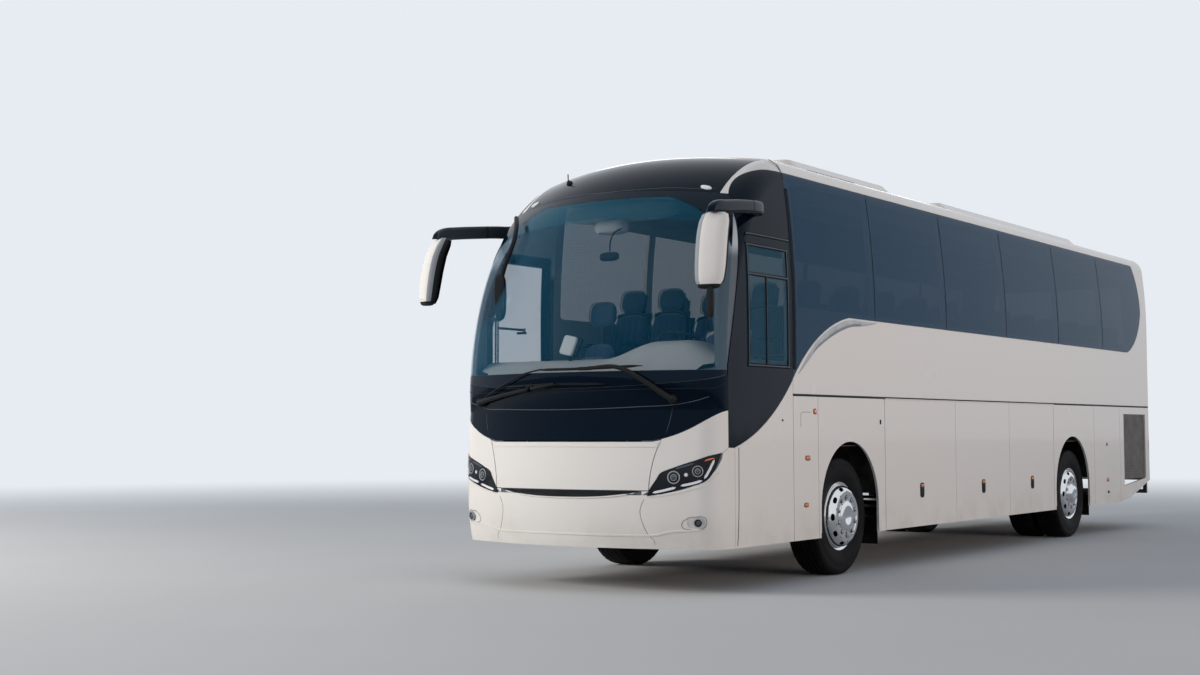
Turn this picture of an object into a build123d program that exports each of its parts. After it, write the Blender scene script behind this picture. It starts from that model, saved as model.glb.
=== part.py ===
from build123d import *
import os
from math import atan2, cos, degrees, hypot, pi, radians, sin, sqrt

os.makedirs("parts", exist_ok=True)

# A two-axle coach bus, in millimetres.
# Every place along the bus is a station: the distance back from the foremost point of the bumper.
# +X is the driver's side (the vehicle's left), +Z is up, and the front looks towards -Y.
# The pieces are built at their stations, and put() moves them to the origin at the middle of the
# whole length, on the ground.

# Overall sizes
WIDTH = 2550
HALF = WIDTH / 2
REAR_S = 11950
ROOF_TOP = 3695
SKIRT_Z = 357

# Cross-section of the body: an upright flank, a long lean inwards, a roof edge and a crown
TUMBLE_Z = 2277
LEAN_R = 8230
EDGE_R = 205
CROWN_R = 6500

# Heights along the flank
RUB_Z = 1580
BELT_Z = 2290
RAIL_Z = 3484

# Walls
SKIN = 8
SEAT = 0.3
WALL = 45
PANEL = 25
GAP = 5

# Front upper shell: sections in planes that fan out about an axis along X
FAN_S = 1750
FAN_Z = 1450
FAN_CORE = 300
SOLVE_ROUNDS = 20
# angle above the horizontal, reach from the axis, corner radius, front radius
FAN = [
    (0, 1720, 240, 3000),
    (20, 1838, 258, 2550),
    (40, 2008, 272, 2350),
    (60, 2192, 262, 2600),
    (75, 2256, 235, 3800),
    (90, ROOF_TOP - FAN_Z, EDGE_R, CROWN_R),
]
# Front lower shell: level sections: height, station of the foremost point
NOSE = [(SKIRT_Z, 55), (620, 8), (900, 0), (1180, 10), (FAN_Z, FAN_S - FAN[0][1])]
NOSE_CORNER_R = FAN[0][2]
NOSE_FRONT_R = FAN[0][3]

# Rear end
REAR_CORNER_R = 170
REAR_BULGE_R = 15000
REAR_LEAN_Z = 2250
REAR_LEAN = 80
REAR_ROOF_R = 130
REAR_SEAM_S = 11740
LID_PIVOT = (REAR_S + 8, 1647)
LID_KNUCKLE_R = 7
LID_HINGE_X = (-400, 340)
FRONT_OF_REAR = REAR_SEAM_S + SEAT

# Front seams
PILLAR_S = 1545
CORNER_SEAM_S = 460
BUMPER_SEAM_S = 560
FLAP_LOW_Z = 815
FLAP_PIVOT = (95, 1300)
FLAP_ARM_X = (-500, 500)
FLAP_SIDE_GAP = 7
FLAP_TOP_GAP = 12

# Wheels and axles
FRONT_AXLE_S = 2566
REAR_AXLE_S = 8717
TYRE_R = 522
TYRE_SIDES = 48
BEAD_R = 286.6
BEAD_HALF = 114
AXLE_Z = TYRE_R
FRONT_TYRE_X = 1060
TWIN_OUTER_X = 1066
TWIN_PITCH = 334
KINGPIN_X = 930

# Tyre, from its widest point to the tread: distance from its middle plane, radius
TYRE_ROWS = [(147.5, 408), (130, 510), (108, TYRE_R)]
TYRE_WIDEST_R = 392

# Rims: radius under the bead, lip's radius, thickness, and the flat nut faces: distance outwards, radius
RIM_R = 285.7
LIP_R = 308
LIP_START = 0.4
RIM_T = 12
FRONT_FACE = (204, 222)
REAR_FACE = (159, 196)
HAND_HOLES = 10
HAND_HOLE = (250, 31, 18)
HUB_R = 75
DRUM_R = 110
SPINDLE_R = 40
KINGPIN_R = 20
AXLE_TUBE_R = 55

# Steering wheel: centre, lean of its axis from the upright, radius and thickness of its ring
STEER_C = (640, 840, 1970)
STEER_TILT = 35
STEER_R = 225
STEER_RING_R = 16

# Luggage doors
DOOR_TOP_Z = 1569
HINGE_X = 1279
HINGE_Z = 1577
HINGE_R = 5
# name, first station, last station
BAYS = [("1", 3357, 5047), ("2", 5047, 6553), ("3", 6553, 7972)]

# Portal frames of the underbody
PORTALS = [1935, 3354, 5047, 6553, 7976, 9450, 10484, 11700]

# Floors
DECK_Z = 1500
DECK_T = 40
CAB_FLOOR_Z = 1080
CAB_REAR_S = 1900
BAY_FLOOR_Z = 450
BULKHEAD_S = (215, 230)
BULKHEAD_TOP_Z = 1590
WELL_X = (-511, -481)
STEP_RISE = 215
STEP_RUN = 230
STEP_S = (580, 1500)

# Mirror heads reach ahead of the bumper: height, middle x, middle station, width, depth, corner radius
MIRROR_ROWS = [
    (2370, 1378, -50, 150, 70, 30),
    (2430, 1384, -58, 205, 104, 44),
    (2665, 1400, -50, 228, 112, 48),
    (2890, 1418, -38, 226, 110, 48),
    (2960, 1424, -28, 180, 84, 36),
]
MIRROR_FRONT_S = MIRROR_ROWS[1][2] - MIRROR_ROWS[1][4] / 2
MIRROR_ARM = [(1290, 900, 3035), (1400, 400, 3048), (1422, -30, 3003)]
MIRROR_FOOT = (835, 960, 2960, 3110)

# Wipers: pivot, a point of the arm, and the blade's ends either side of its middle, as (x, z)
WIPERS = [
    ((952, 1532), (562, 1778), [(-253, 1787), (271, 1787), (715, 1801)]),
    ((-977, 1532), (-520, 1640), [(-657, 1654), (-69, 1664), (415, 1660)]),
]
BLADE_LIFT = 16
ARM_LIFT = 42

# Towing jaws: station of the pin, height of the jaw's middle
TOW_JAWS = [(600, 820), (11765, 820)]
TOW_PIN_R = 20.5

CENTRE_S = (MIRROR_FRONT_S + LID_PIVOT[0] + LID_KNUCKLE_R) / 2

# Side-view zones of the front, as (station, height)
WINDSCREEN_LOW = [(-60, 1617), (445, 1728)]
WINDSCREEN_SIDE = [(445, 1728), (548, 2510), (845, 3225)]
WINDSCREEN_TOP = [(845, 3225), (-60, 3460)]
LAMP_UPPER = [(88, 783), (135, 884), (178, 948), (226, 1025), (340, 1089), (383, 1113)]
LAMP_LOWER = [(373, 1067), (317, 980), (263, 916), (217, 867), (177, 828), (128, 794)]
CORNER_REAR_Z = 1155
# Lower edge of the white cant rail, from the windscreen's corner up to the level run
RAIL_CURVE = [(845, 3225), (1090, 3418), (1400, 3484)]
RAIL_INNER_X = 1000
# Front-view curves, as (distance from the middle, height)
WHITE_EDGE = [(780, 1205), (1060, 1296), (1300, 1466)]
FLAP_SIDE = [(757, 815), (800, 1080), (893, 1300)]

# Slot under the front flap: half width, low and high edges
SLOT = (660, 797, 811)
# Fog lamp recess: first and last x, low and high edges, corner radius
FOG = (1045, 1175, 525, 612, 30)

# Driver's window
CAB_WINDOW = (765, 1528, 1818, 2884)
WINDOW_R = 40

# The white panel's swept top edge and the side glazing above it
SWOOSH_LOW = [(556, 1150), (1110, 1375), (1545, 1715)]
SWOOSH_HIGH = [(1545, 1715), (2000, 2075), (2633, BELT_Z)]
GLASS_REAR = [(10860, BELT_Z), (11330, 2530), (11560, 2860), (11545, 3180), (11400, RAIL_Z)]
MULLIONS = [PILLAR_S, 3180, 4860, 6530, 8220, 9870]
MULLION_GAP = 8
PANE_GAP = 4
PILLAR_HALF = 55

# Flank panels below the rub line: first station, last station, height of the bottom edge at the end
PANEL_TOP_Z = 1575
ARCHES = [(2625, 585, 605), (8640, 610, 600)]
FLANK_SEAMS = [(1545, 2000), (2000, 3354), (7976, 9450), (9450, 10484)]
SEAM = 6
TAIL_PANEL = [(10484, 357), (10900, 400), (11738, 600)]
GRILLE = (10650, 11600, 640, 1484)
GRILLE_FRONT_Z = 555

# Rear openings: half width, low and high edges, corner radius
LID = (820, 800, 1640, 50)
LID_T = 25
REAR_WINDOW = (1000, 2360, 3300, 90)
TAIL_LAMP = (930, HALF + 9, 1000, 1480)
REAR_LOW_Z = 600
REAR_BUMPER_Z = 770

# Chassis members: rails' inner and outer x, low and high edges
RAIL = (380, 480, 740.3, 900)
HANGER = (390, 470)
PORTAL_T = 50
POST_T = 45
PORTAL_Z = (430, 480)
TOP_BEAM_Z = 1410
AXLE_MEMBER_T = 80

# Seats: first station, pitch, last station, half width of a pair and its middle
SEATS = (1905, 790, 10900)
PAIR_HALF = 440
PAIR_X = 720
# from x, to x, station
DRIVER_SEAT = (390, 890, 900)
GUIDE_SEAT = (-1020, -640, 1545)
GUIDE_LOCKER_Z = 1500
HUMP_X = (130, 1140)
DASH_TOP_Z = 2025
RACK = (2100, 11400, 3260, 3420, 720)
ENGINE = (10510, 11640, 560, 1380)

# Entry door on the right
DOOR_OUTLINE = [(566, 400), (1500, 400), (1500, 2884), (775, 2884), (650, 2560), (566, 2210)]
DOOR_FRAME = 88
DOOR_PANEL_TOP_Z = 1180
DOOR_T = 35
DOOR_R = 26
COLUMN = (-1185, 640)
COLUMN_Z = (1005, 2260)
ARM_LEVELS = (1120, 2200)
ARM_REACH = 400


def put(node, *shapes):
    """Write one node, moved from its stations to the origin of the whole bus."""
    solids = [solid for shape in shapes for solid in shape.solids()]
    placed = [Pos(0, -CENTRE_S, 0) * solid for solid in solids]
    export_step(placed[0] if len(placed) == 1 else Compound(placed), f"parts/{node}.step")


def across(face, s0, s1):
    """A front-view face (x, z) as a solid between two stations."""
    plane = Plane(origin=(0, s1, 0), x_dir=(1, 0, 0), z_dir=(0, -1, 0))
    return extrude(plane * face, amount=s1 - s0)


def lateral(face, x0, x1):
    """A side-view face (station, z) as a solid between two distances from the middle."""
    plane = Plane(origin=(x0, 0, 0), x_dir=(0, 1, 0), z_dir=(1, 0, 0))
    return extrude(plane * face, amount=x1 - x0)


def upward(face, z0, z1):
    """A plan face (x, station) as a solid between two heights."""
    return extrude(Plane.XY.offset(z0) * face, amount=z1 - z0)


def block(x0, x1, s0, s1, z0, z1):
    """A box between limits."""
    return Pos((x0 + x1) / 2, (s0 + s1) / 2, (z0 + z1) / 2) * Box(x1 - x0, s1 - s0, z1 - z0)


def both(shape):
    """A shape of the left side with its mirror image on the right."""
    return [shape, mirror(shape, about=Plane.YZ)]


def polygon(points):
    """A face with straight sides."""
    return make_face(Polyline(*points, close=True))


def rounded(points, radius):
    """A face with straight sides and round corners."""
    face = polygon(points)
    return fillet(face.vertices(), radius)


def rod_x(x0, x1, s, z, radius):
    """A round bar along X."""
    return Pos((x0 + x1) / 2, s, z) * Rot(0, 90, 0) * Cylinder(radius, x1 - x0)


def rod_z(x, s, z0, z1, radius):
    """A round bar along Z."""
    return Pos(x, s, (z0 + z1) / 2) * Cylinder(radius, z1 - z0)


def rod_s(x, z, s0, s1, radius):
    """A round bar along the bus."""
    return Pos(x, (s0 + s1) / 2, z) * Rot(90, 0, 0) * Cylinder(radius, s1 - s0)


def polar(centre, angle, radius):
    """The point at an angle on a circle."""
    return (centre[0] + radius * cos(angle), centre[1] + radius * sin(angle))


# Centres of the cross-section's arcs
LEAN_C = (HALF - LEAN_R, TUMBLE_Z)
CROWN_C = (0, ROOF_TOP - CROWN_R)


def crossing(c1, r1, c2, r2):
    """Where two circles cross, on the +X side."""
    dx = c2[0] - c1[0]
    dy = c2[1] - c1[1]
    d = hypot(dx, dy)
    a = (r1 * r1 - r2 * r2 + d * d) / (2 * d)
    h = sqrt(r1 * r1 - a * a)
    mid = (c1[0] + a * dx / d, c1[1] + a * dy / d)
    one = (mid[0] + h * dy / d, mid[1] - h * dx / d)
    two = (mid[0] - h * dy / d, mid[1] + h * dx / d)
    return one if one[0] > two[0] else two


EDGE_C = crossing(LEAN_C, LEAN_R - EDGE_R, CROWN_C, CROWN_R - EDGE_R)
LEAN_END = atan2(EDGE_C[1] - LEAN_C[1], EDGE_C[0] - LEAN_C[0])
CROWN_START = atan2(EDGE_C[1] - CROWN_C[1], EDGE_C[0] - CROWN_C[0])


def flank_x(z):
    """Distance of the outer flank from the middle at a height below the roof edge."""
    if z <= TUMBLE_Z:
        return HALF
    return LEAN_C[0] + sqrt(LEAN_R ** 2 - (z - TUMBLE_Z) ** 2)


def hull_edges(inset, low):
    """The cross-section's right-hand outline, inset from the outer surface, from low to the crown."""
    knee = (HALF - inset, TUMBLE_Z)
    edge_low = polar(EDGE_C, LEAN_END, EDGE_R - inset)
    edge_mid = polar(EDGE_C, (LEAN_END + CROWN_START) / 2, EDGE_R - inset)
    edge_high = polar(EDGE_C, CROWN_START, EDGE_R - inset)
    crown_mid = polar(CROWN_C, (CROWN_START + pi / 2) / 2, CROWN_R - inset)
    return [
        Line((HALF - inset, low), knee),
        ThreePointArc(knee, polar(LEAN_C, LEAN_END / 2, LEAN_R - inset), edge_low),
        ThreePointArc(edge_low, edge_mid, edge_high),
        ThreePointArc(edge_high, crown_mid, (0, ROOF_TOP - inset)),
    ]


def hull_ring(outer, inner, low):
    """The body's cross-section between two insets, open at the bottom."""
    right = hull_edges(outer, low) + hull_edges(inner, low) + [Line((HALF - outer, low), (HALF - inner, low))]
    left = [edge.mirror(Plane.YZ) for edge in right]
    return make_face(right + left)


def hull_face(inset, low):
    """The body's whole cross-section, inset from the outer surface."""
    right = hull_edges(inset, low)
    left = [edge.mirror(Plane.YZ) for edge in right]
    return make_face(right + left + [Line((HALF - inset, low), (inset - HALF, low))])


def main_shell(outer, inner, low, s0, s1):
    """The body's wall between two insets and two stations."""
    return across(hull_ring(outer, inner, low), s0, s1)


def fan_section(angle, reach, corner_r, front_r):
    """Knee and flank end of a fan section, its corner's centre, its lean there and its front's centre."""
    tilt = sin(radians(angle))
    front_c = reach - front_r
    lean = 0
    corner = (HALF - corner_r, 0)
    for _ in range(SOLVE_ROUNDS):
        corner_y = front_c + sqrt((front_r - corner_r) ** 2 - corner[0] ** 2)
        flank_r = corner_y + corner_r * sin(lean)
        z = FAN_Z + flank_r * tilt
        lean = atan2(max(z - TUMBLE_Z, 0) * tilt, LEAN_R)
        corner = (flank_x(z) - corner_r * cos(lean), corner_y)
    knee_r = 0.6 * flank_r
    if tilt > 0:
        knee_r = min(knee_r, (TUMBLE_Z - FAN_Z) / tilt)
    return knee_r, flank_r, corner, lean, front_c


def fan_outline(row, inset):
    """The right-hand half outline of a fan section, from the core to the middle of the front."""
    angle, reach, corner_r, front_r = row
    knee_r, flank_r, corner, lean, front_c = fan_section(*row)
    tilt = sin(radians(angle))
    start = (HALF - inset, FAN_CORE)
    knee = (flank_x(FAN_Z + knee_r * tilt) - inset, knee_r)
    flank = polar(corner, lean, corner_r - inset)
    mid_r = (knee_r + flank[1]) / 2
    middle = (flank_x(FAN_Z + mid_r * tilt) - inset, mid_r)
    turn = atan2(corner[1] - front_c, corner[0])
    front = polar(corner, turn, corner_r - inset)
    straight = abs(flank[0] - knee[0]) < 0.5
    return [
        Line(start, knee),
        Line(knee, flank) if straight else ThreePointArc(knee, middle, flank),
        ThreePointArc(flank, polar(corner, (lean + turn) / 2, corner_r - inset), front),
        ThreePointArc(front, polar((0, front_c), (turn + pi / 2) / 2, front_r - inset), (0, reach - inset)),
    ]


def ring_face(outline, outer, inner):
    """A closed C-shaped face between two insets of a half outline and its mirror image."""
    right = outline(outer) + outline(inner)
    ends = Line(outline(outer)[0] @ 0, outline(inner)[0] @ 0)
    left = [edge.mirror(Plane.YZ) for edge in right + [ends]]
    return make_face(right + [ends] + left)


def fan_plane(angle):
    """The plane of a fan section: x stays x, and y runs away from the fan's axis."""
    a = radians(angle)
    return Plane(origin=(0, FAN_S, FAN_Z), x_dir=(1, 0, 0), z_dir=(0, -sin(a), -cos(a)))


def nose_outline(station, inset):
    """The right-hand half of a level section of the lower front, as (x, distance ahead of the fan axis)."""
    reach = FAN_S - station
    front_c = reach - NOSE_FRONT_R
    corner_x = HALF - NOSE_CORNER_R
    corner_y = front_c + sqrt((NOSE_FRONT_R - NOSE_CORNER_R) ** 2 - corner_x ** 2)
    corner = (corner_x, corner_y)
    turn = atan2(corner_y - front_c, corner_x)
    front = polar(corner, turn, NOSE_CORNER_R - inset)
    return [
        Line((HALF - inset, 0), (HALF - inset, corner_y)),
        ThreePointArc((HALF - inset, corner_y), polar(corner, turn / 2, NOSE_CORNER_R - inset), front),
        ThreePointArc(front, polar((0, front_c), (turn + pi / 2) / 2, NOSE_FRONT_R - inset), (0, reach - inset)),
    ]


def front_shell(outer, inner):
    """The front's wall between two insets: the fan above, the nose below and plates round the axis."""
    upper = loft([fan_plane(row[0]) * ring_face(lambda t, row=row: fan_outline(row, t), outer, inner) for row in FAN])
    level = []
    for z, station in NOSE:
        plane = Plane(origin=(0, FAN_S, z), x_dir=(1, 0, 0), z_dir=(0, 0, -1))
        level.append(plane * ring_face(lambda t, station=station: nose_outline(station, t), outer, inner))
    lower = loft(level)
    plate = block(HALF - inner, HALF - outer, FAN_S - FAN_CORE - 60, FAN_S, FAN_Z - 60, FAN_Z + FAN_CORE + 60)
    shell = upper + lower
    for side in both(plate):
        shell = shell + side
    return shell


def solid_face(outline, inset):
    """A half outline and its mirror image, filled."""
    right = outline(inset)
    start = right[0] @ 0
    left = [edge.mirror(Plane.YZ) for edge in right]
    return make_face(right + left + [Line((start.X, start.Y), (-start.X, start.Y))])


def front_solid(inset):
    """Everything inside the front's outer surface, ahead of the fan's axis."""
    upper = loft([fan_plane(row[0]) * solid_face(lambda t, row=row: fan_outline(row, t), inset) for row in FAN])
    level = []
    for z, station in NOSE:
        plane = Plane(origin=(0, FAN_S, z), x_dir=(1, 0, 0), z_dir=(0, 0, -1))
        level.append(plane * solid_face(lambda t, station=station: nose_outline(station, t), inset))
    return upper + loft(level)


def rear_solid(inset, low):
    """The rear end as a solid block, inset from its outer surface."""
    end = REAR_S - inset
    top_r = REAR_ROOF_R - inset
    lean = atan2(REAR_LEAN, ROOF_TOP - REAR_LEAN_Z)
    knee = (end, REAR_LEAN_Z)
    # The roof edge's arc touches the leaning face and the crown's level
    arc_z = ROOF_TOP - REAR_ROOF_R
    touch = REAR_S - (arc_z - REAR_LEAN_Z) * sin(lean) / cos(lean)
    arc_s = touch - REAR_ROOF_R / cos(lean)
    arc_c = (arc_s, arc_z)
    side = make_face([
        Line((FRONT_OF_REAR, low), (end, low)),
        Line((end, low), knee),
        Line(knee, polar(arc_c, lean, top_r)),
        ThreePointArc(polar(arc_c, lean, top_r), polar(arc_c, (lean + pi / 2) / 2, top_r),
                      polar(arc_c, pi / 2, top_r)),
        Line(polar(arc_c, pi / 2, top_r), (FRONT_OF_REAR, ROOF_TOP - inset)),
        Line((FRONT_OF_REAR, ROOF_TOP - inset), (FRONT_OF_REAR, low)),
    ])
    corner_x = HALF - REAR_CORNER_R
    bulge_c = REAR_S - REAR_BULGE_R
    corner_s = bulge_c + sqrt((REAR_BULGE_R - REAR_CORNER_R) ** 2 - corner_x ** 2)
    corner = (corner_x, corner_s)
    turn = atan2(corner_s - bulge_c, corner_x)
    edge = polar(corner, turn, REAR_CORNER_R - inset)
    right = [
        Line((0, FRONT_OF_REAR), (HALF - inset, FRONT_OF_REAR)),
        Line((HALF - inset, FRONT_OF_REAR), (HALF - inset, corner_s)),
        ThreePointArc((HALF - inset, corner_s), polar(corner, turn / 2, REAR_CORNER_R - inset), edge),
        ThreePointArc(edge, polar((0, bulge_c), (turn + pi / 2) / 2, REAR_BULGE_R - inset), (0, end)),
    ]
    plan = make_face(right + [line.mirror(Plane.YZ) for line in right])
    section = across(hull_face(inset, low), FRONT_OF_REAR, REAR_S + 10)
    return section & lateral(side, -HALF, HALF) & upward(plan, low, ROOF_TOP + 10)


def rear_shell(outer, inner, low):
    """The rear end's wall between two insets."""
    return rear_solid(outer, low) - rear_solid(inner, low - 1)


def zone(points):
    """A side-view zone across the whole width."""
    return lateral(polygon(points), -HALF - 60, HALF + 60)


def windscreen_face():
    """Side view of the windscreen, open ahead of the front."""
    return make_face([
        Line(*WINDSCREEN_LOW),
        ThreePointArc(*WINDSCREEN_SIDE),
        Line(*WINDSCREEN_TOP),
        Line(WINDSCREEN_TOP[1], WINDSCREEN_LOW[0]),
    ])


def white_zone(gap):
    """Everything below the sweep between the black mask and the white front."""
    right = [Line((0, WHITE_EDGE[0][1] - gap), (WHITE_EDGE[0][0], WHITE_EDGE[0][1] - gap)),
             ThreePointArc(*[(x, z - gap) for x, z in WHITE_EDGE])]
    left = [line.mirror(Plane.YZ) for line in right]
    x, z = WHITE_EDGE[2]
    rest = Polyline((x, z - gap), (x, 0), (-x, 0), (-x, z - gap))
    return across(make_face(right + left + [rest]), -100, CORNER_SEAM_S - 4)


def flap_zone(gap):
    """The front flap between its two curved side seams."""
    right = [Line((0, FLAP_LOW_Z + gap), (FLAP_SIDE[0][0] - gap, FLAP_LOW_Z + gap)),
             ThreePointArc(*[(x - gap, z) for x, z in [(FLAP_SIDE[0][0], FLAP_LOW_Z + gap)] + FLAP_SIDE[1:]])]
    left = [line.mirror(Plane.YZ) for line in right]
    x, z = FLAP_SIDE[2]
    return across(make_face(right + left + [Line((x - gap, z), (gap - x, z))]), -100, CORNER_SEAM_S)


def quarter_face(gap):
    """Side view of the black quarter beside the driver, from the windscreen to the side glazing."""
    return make_face([
        Line((CORNER_SEAM_S, SWOOSH_LOW[0][1] + gap), (SWOOSH_LOW[0][0], SWOOSH_LOW[0][1] + gap)),
        ThreePointArc(*[(st, z + gap) for st, z in SWOOSH_LOW]),
        Line((PILLAR_S, SWOOSH_LOW[2][1] + gap), (PILLAR_S, RAIL_Z - gap)),
        Line((PILLAR_S, RAIL_Z - gap), (RAIL_CURVE[2][0], RAIL_Z - gap)),
        ThreePointArc(*[(st, z - gap) for st, z in reversed(RAIL_CURVE)]),
        Line((RAIL_CURVE[0][0], RAIL_CURVE[0][1] - gap), (RAIL_CURVE[0][0] - 40, RAIL_CURVE[0][1] - gap)),
        Line((RAIL_CURVE[0][0] - 40, RAIL_CURVE[0][1] - gap), (CORNER_SEAM_S, 1800)),
        Line((CORNER_SEAM_S, 1800), (CORNER_SEAM_S, SWOOSH_LOW[0][1] + gap)),
    ])


def glazing_face():
    """Side view of the side glazing behind the front pillar."""
    return make_face([
        ThreePointArc(*SWOOSH_HIGH),
        Line(SWOOSH_HIGH[2], GLASS_REAR[0]),
        ThreePointArc(*GLASS_REAR[:3]),
        ThreePointArc(*GLASS_REAR[2:]),
        Line(GLASS_REAR[4], (PILLAR_S, RAIL_Z)),
        Line((PILLAR_S, RAIL_Z), SWOOSH_HIGH[0]),
    ])


def window_block(limits, x0, x1, radius=WINDOW_R):
    """A rounded rectangle in side view (first and last station, low and high z) between two distances."""
    s0, s1, z0, z1 = limits
    return lateral(rounded([(s0, z0), (s1, z0), (s1, z1), (s0, z1)], radius), x0, x1)


def grow(limits, by):
    """A rectangle's limits moved outwards."""
    return (limits[0] - by, limits[1] + by, limits[2] - by, limits[3] + by)


def front_pieces():
    """The front's outer skins and the frame that carries them."""
    skin = front_shell(0, SKIN)
    frame = front_shell(SKIN + SEAT, WALL)
    door_skin = front_shell(0, DOOR_T)
    glass_zone = lateral(windscreen_face(), -HALF - 60, HALF + 60)
    glass_hole = lateral(offset(windscreen_face(), GAP), -HALF - 60, HALF + 60)
    glass_light = lateral(offset(windscreen_face(), -70), -HALF - 60, HALF + 60)
    put("windscreen", skin & glass_zone)
    skin = skin - glass_hole
    ahead = block(-HALF - 9, HALF + 9, -60, PILLAR_S - 4, 0, ROOF_TOP + 50)
    skin = skin & ahead
    quarter = lateral(quarter_face(2), 0, HALF + 60)
    quarters = skin & (quarter + mirror(quarter, about=Plane.YZ))
    high = block(-HALF - 9, HALF + 9, -60, PILLAR_S, WINDSCREEN_SIDE[2][1] + 2, ROOF_TOP + 50)
    roof = (skin & high) - lateral(quarter_face(-2), -HALF - 60, HALF + 60)
    middle = block(-RAIL_INNER_X, RAIL_INNER_X, -60, PILLAR_S, 0, ROOF_TOP + 50)
    wide = block(-RAIL_INNER_X - 4, RAIL_INNER_X + 4, -60, PILLAR_S, 0, ROOF_TOP + 50)
    put("front_cap", roof & middle)
    front_rails = roof - wide
    low = skin & block(-HALF - 9, HALF + 9, -60, CORNER_SEAM_S - 4, 0, WINDSCREEN_LOW[1][1])
    put("front_mask", low - white_zone(-6))
    white = skin & white_zone(0)
    flap = skin & white_zone(FLAP_TOP_GAP - 6) & flap_zone(FLAP_SIDE_GAP / 2)
    for x in FLAP_ARM_X:
        flap = flap + flap_arm(x)
    put("front_flap", flap)
    lamp = polygon(LAMP_UPPER + LAMP_LOWER)
    lamp_hole = lateral(offset(lamp, 3), -HALF - 60, HALF + 60)
    above = LAMP_UPPER + [(CORNER_SEAM_S, CORNER_REAR_Z)]
    corner_zone = zone(above + [(CORNER_SEAM_S, 1500), (-60, 1500), (-60, above[0][1])])
    corners = (white & corner_zone) - flap_zone(-FLAP_SIDE_GAP / 2) - lamp_hole
    corners = corners - block(-700, 700, -60, 300, 0, 1500)
    below = [(st, z - 4) for st, z in above] + [(BUMPER_SEAM_S - 4, SWOOSH_LOW[0][1] - 3)]
    bumper_zone = zone(below + [(BUMPER_SEAM_S - 4, 0), (-60, 0), (-60, below[0][1])])
    half, low_z, high_z = SLOT
    slot = across(polygon([(-half, low_z), (half, low_z), (half, high_z), (-half, high_z)]), -60, CORNER_SEAM_S)
    bumper = (skin & bumper_zone) - lamp_hole - slot
    for recess in both(fog_recess()):
        bumper = bumper - recess
    put("bumper_front", bumper, corners)
    put("headlamps", skin & lateral(lamp, -HALF - 60, HALF + 60))
    return skin, frame, door_skin, quarters, front_rails, glass_light, lamp


def fog_recess():
    """The opening of the left fog lamp in the bumper."""
    x0, x1, z0, z1, radius = FOG
    return across(rounded([(x0, z0), (x1, z0), (x1, z1), (x0, z1)], radius), -60, CORNER_SEAM_S)


def cab_shell(frame, glass_light, lamp):
    """The welded front frame behind the skins, open at the windscreen, windows, door, flap and lamps."""
    shell = frame & block(-HALF, HALF, -60, PILLAR_S + 1.7, 430, ROOF_TOP)
    shell = shell - glass_light
    shell = shell - window_block(grow(CAB_WINDOW, -45), HALF - 400, HALF + 60)
    shell = shell - door_block(-GAP)
    shell = shell - across(polygon([(-690, 840), (690, 840), (690, 1330), (-690, 1330)]), -60, 300)
    shell = shell + column_brackets()
    for x in FLAP_ARM_X:
        shell = shell + flap_bracket(x)
    lamp_pocket = lateral(offset(lamp, -14), -HALF - 60, HALF + 60)
    return shell - lamp_pocket


def door_block(inset):
    """The entry door's side view, moved inwards by an inset, as a cut through the right flank."""
    outline = rounded(DOOR_OUTLINE, DOOR_R)
    return lateral(offset(outline, -inset), -HALF - 60, -HALF + 400)


def door_light(inset):
    """The entry door's glass in side view, above its lower panel."""
    outline = offset(rounded(DOOR_OUTLINE, DOOR_R), -DOOR_FRAME)
    high = polygon([(0, DOOR_PANEL_TOP_Z), (FAN_S, DOOR_PANEL_TOP_Z), (FAN_S, ROOF_TOP), (0, ROOF_TOP)])
    glass = outline & high
    return lateral(offset(glass, -inset) if inset else glass, -HALF - 60, -HALF + 400)


def column_brackets():
    """The two bearings of the entry door's column."""
    x, st = COLUMN
    low = block(DOOR_T + GAP - HALF, x + 25, 540, st + 30, COLUMN_Z[0] - 30, COLUMN_Z[0] - SEAT)
    high = block(DOOR_T + GAP - HALF, x + 25, 540, st + 30, COLUMN_Z[1] + SEAT, COLUMN_Z[1] + 30)
    return low + high


def flap_bracket(x):
    """A plate with the pin that one arm of the front flap turns on."""
    st, z = FLAP_PIVOT
    side = 1 if x > 0 else -1
    inner_x, outer_x = x + side * 9, x + side * 21
    plate = block(min(inner_x, outer_x), max(inner_x, outer_x), st - 20, st + 20, z - 20, z + 60)
    return plate + rod_x(min(x - side * 9, outer_x), max(x - side * 9, outer_x), st, z, 8)


def flap_arm(x):
    """A gooseneck arm from the flap's back, round behind its pivot."""
    st, z = FLAP_PIVOT
    face = polygon([(st - 14, z + 14), (st + 108, z + 14), (st + 108, z - 149), (st - 39, z - 149),
                    (st - 39, z - 121), (st + 80, z - 121), (st + 80, z - 14), (st - 14, z - 14)])
    return lateral(face, x - 6, x + 6) - rod_x(x - 9, x + 9, st, z, 8.3)


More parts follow.
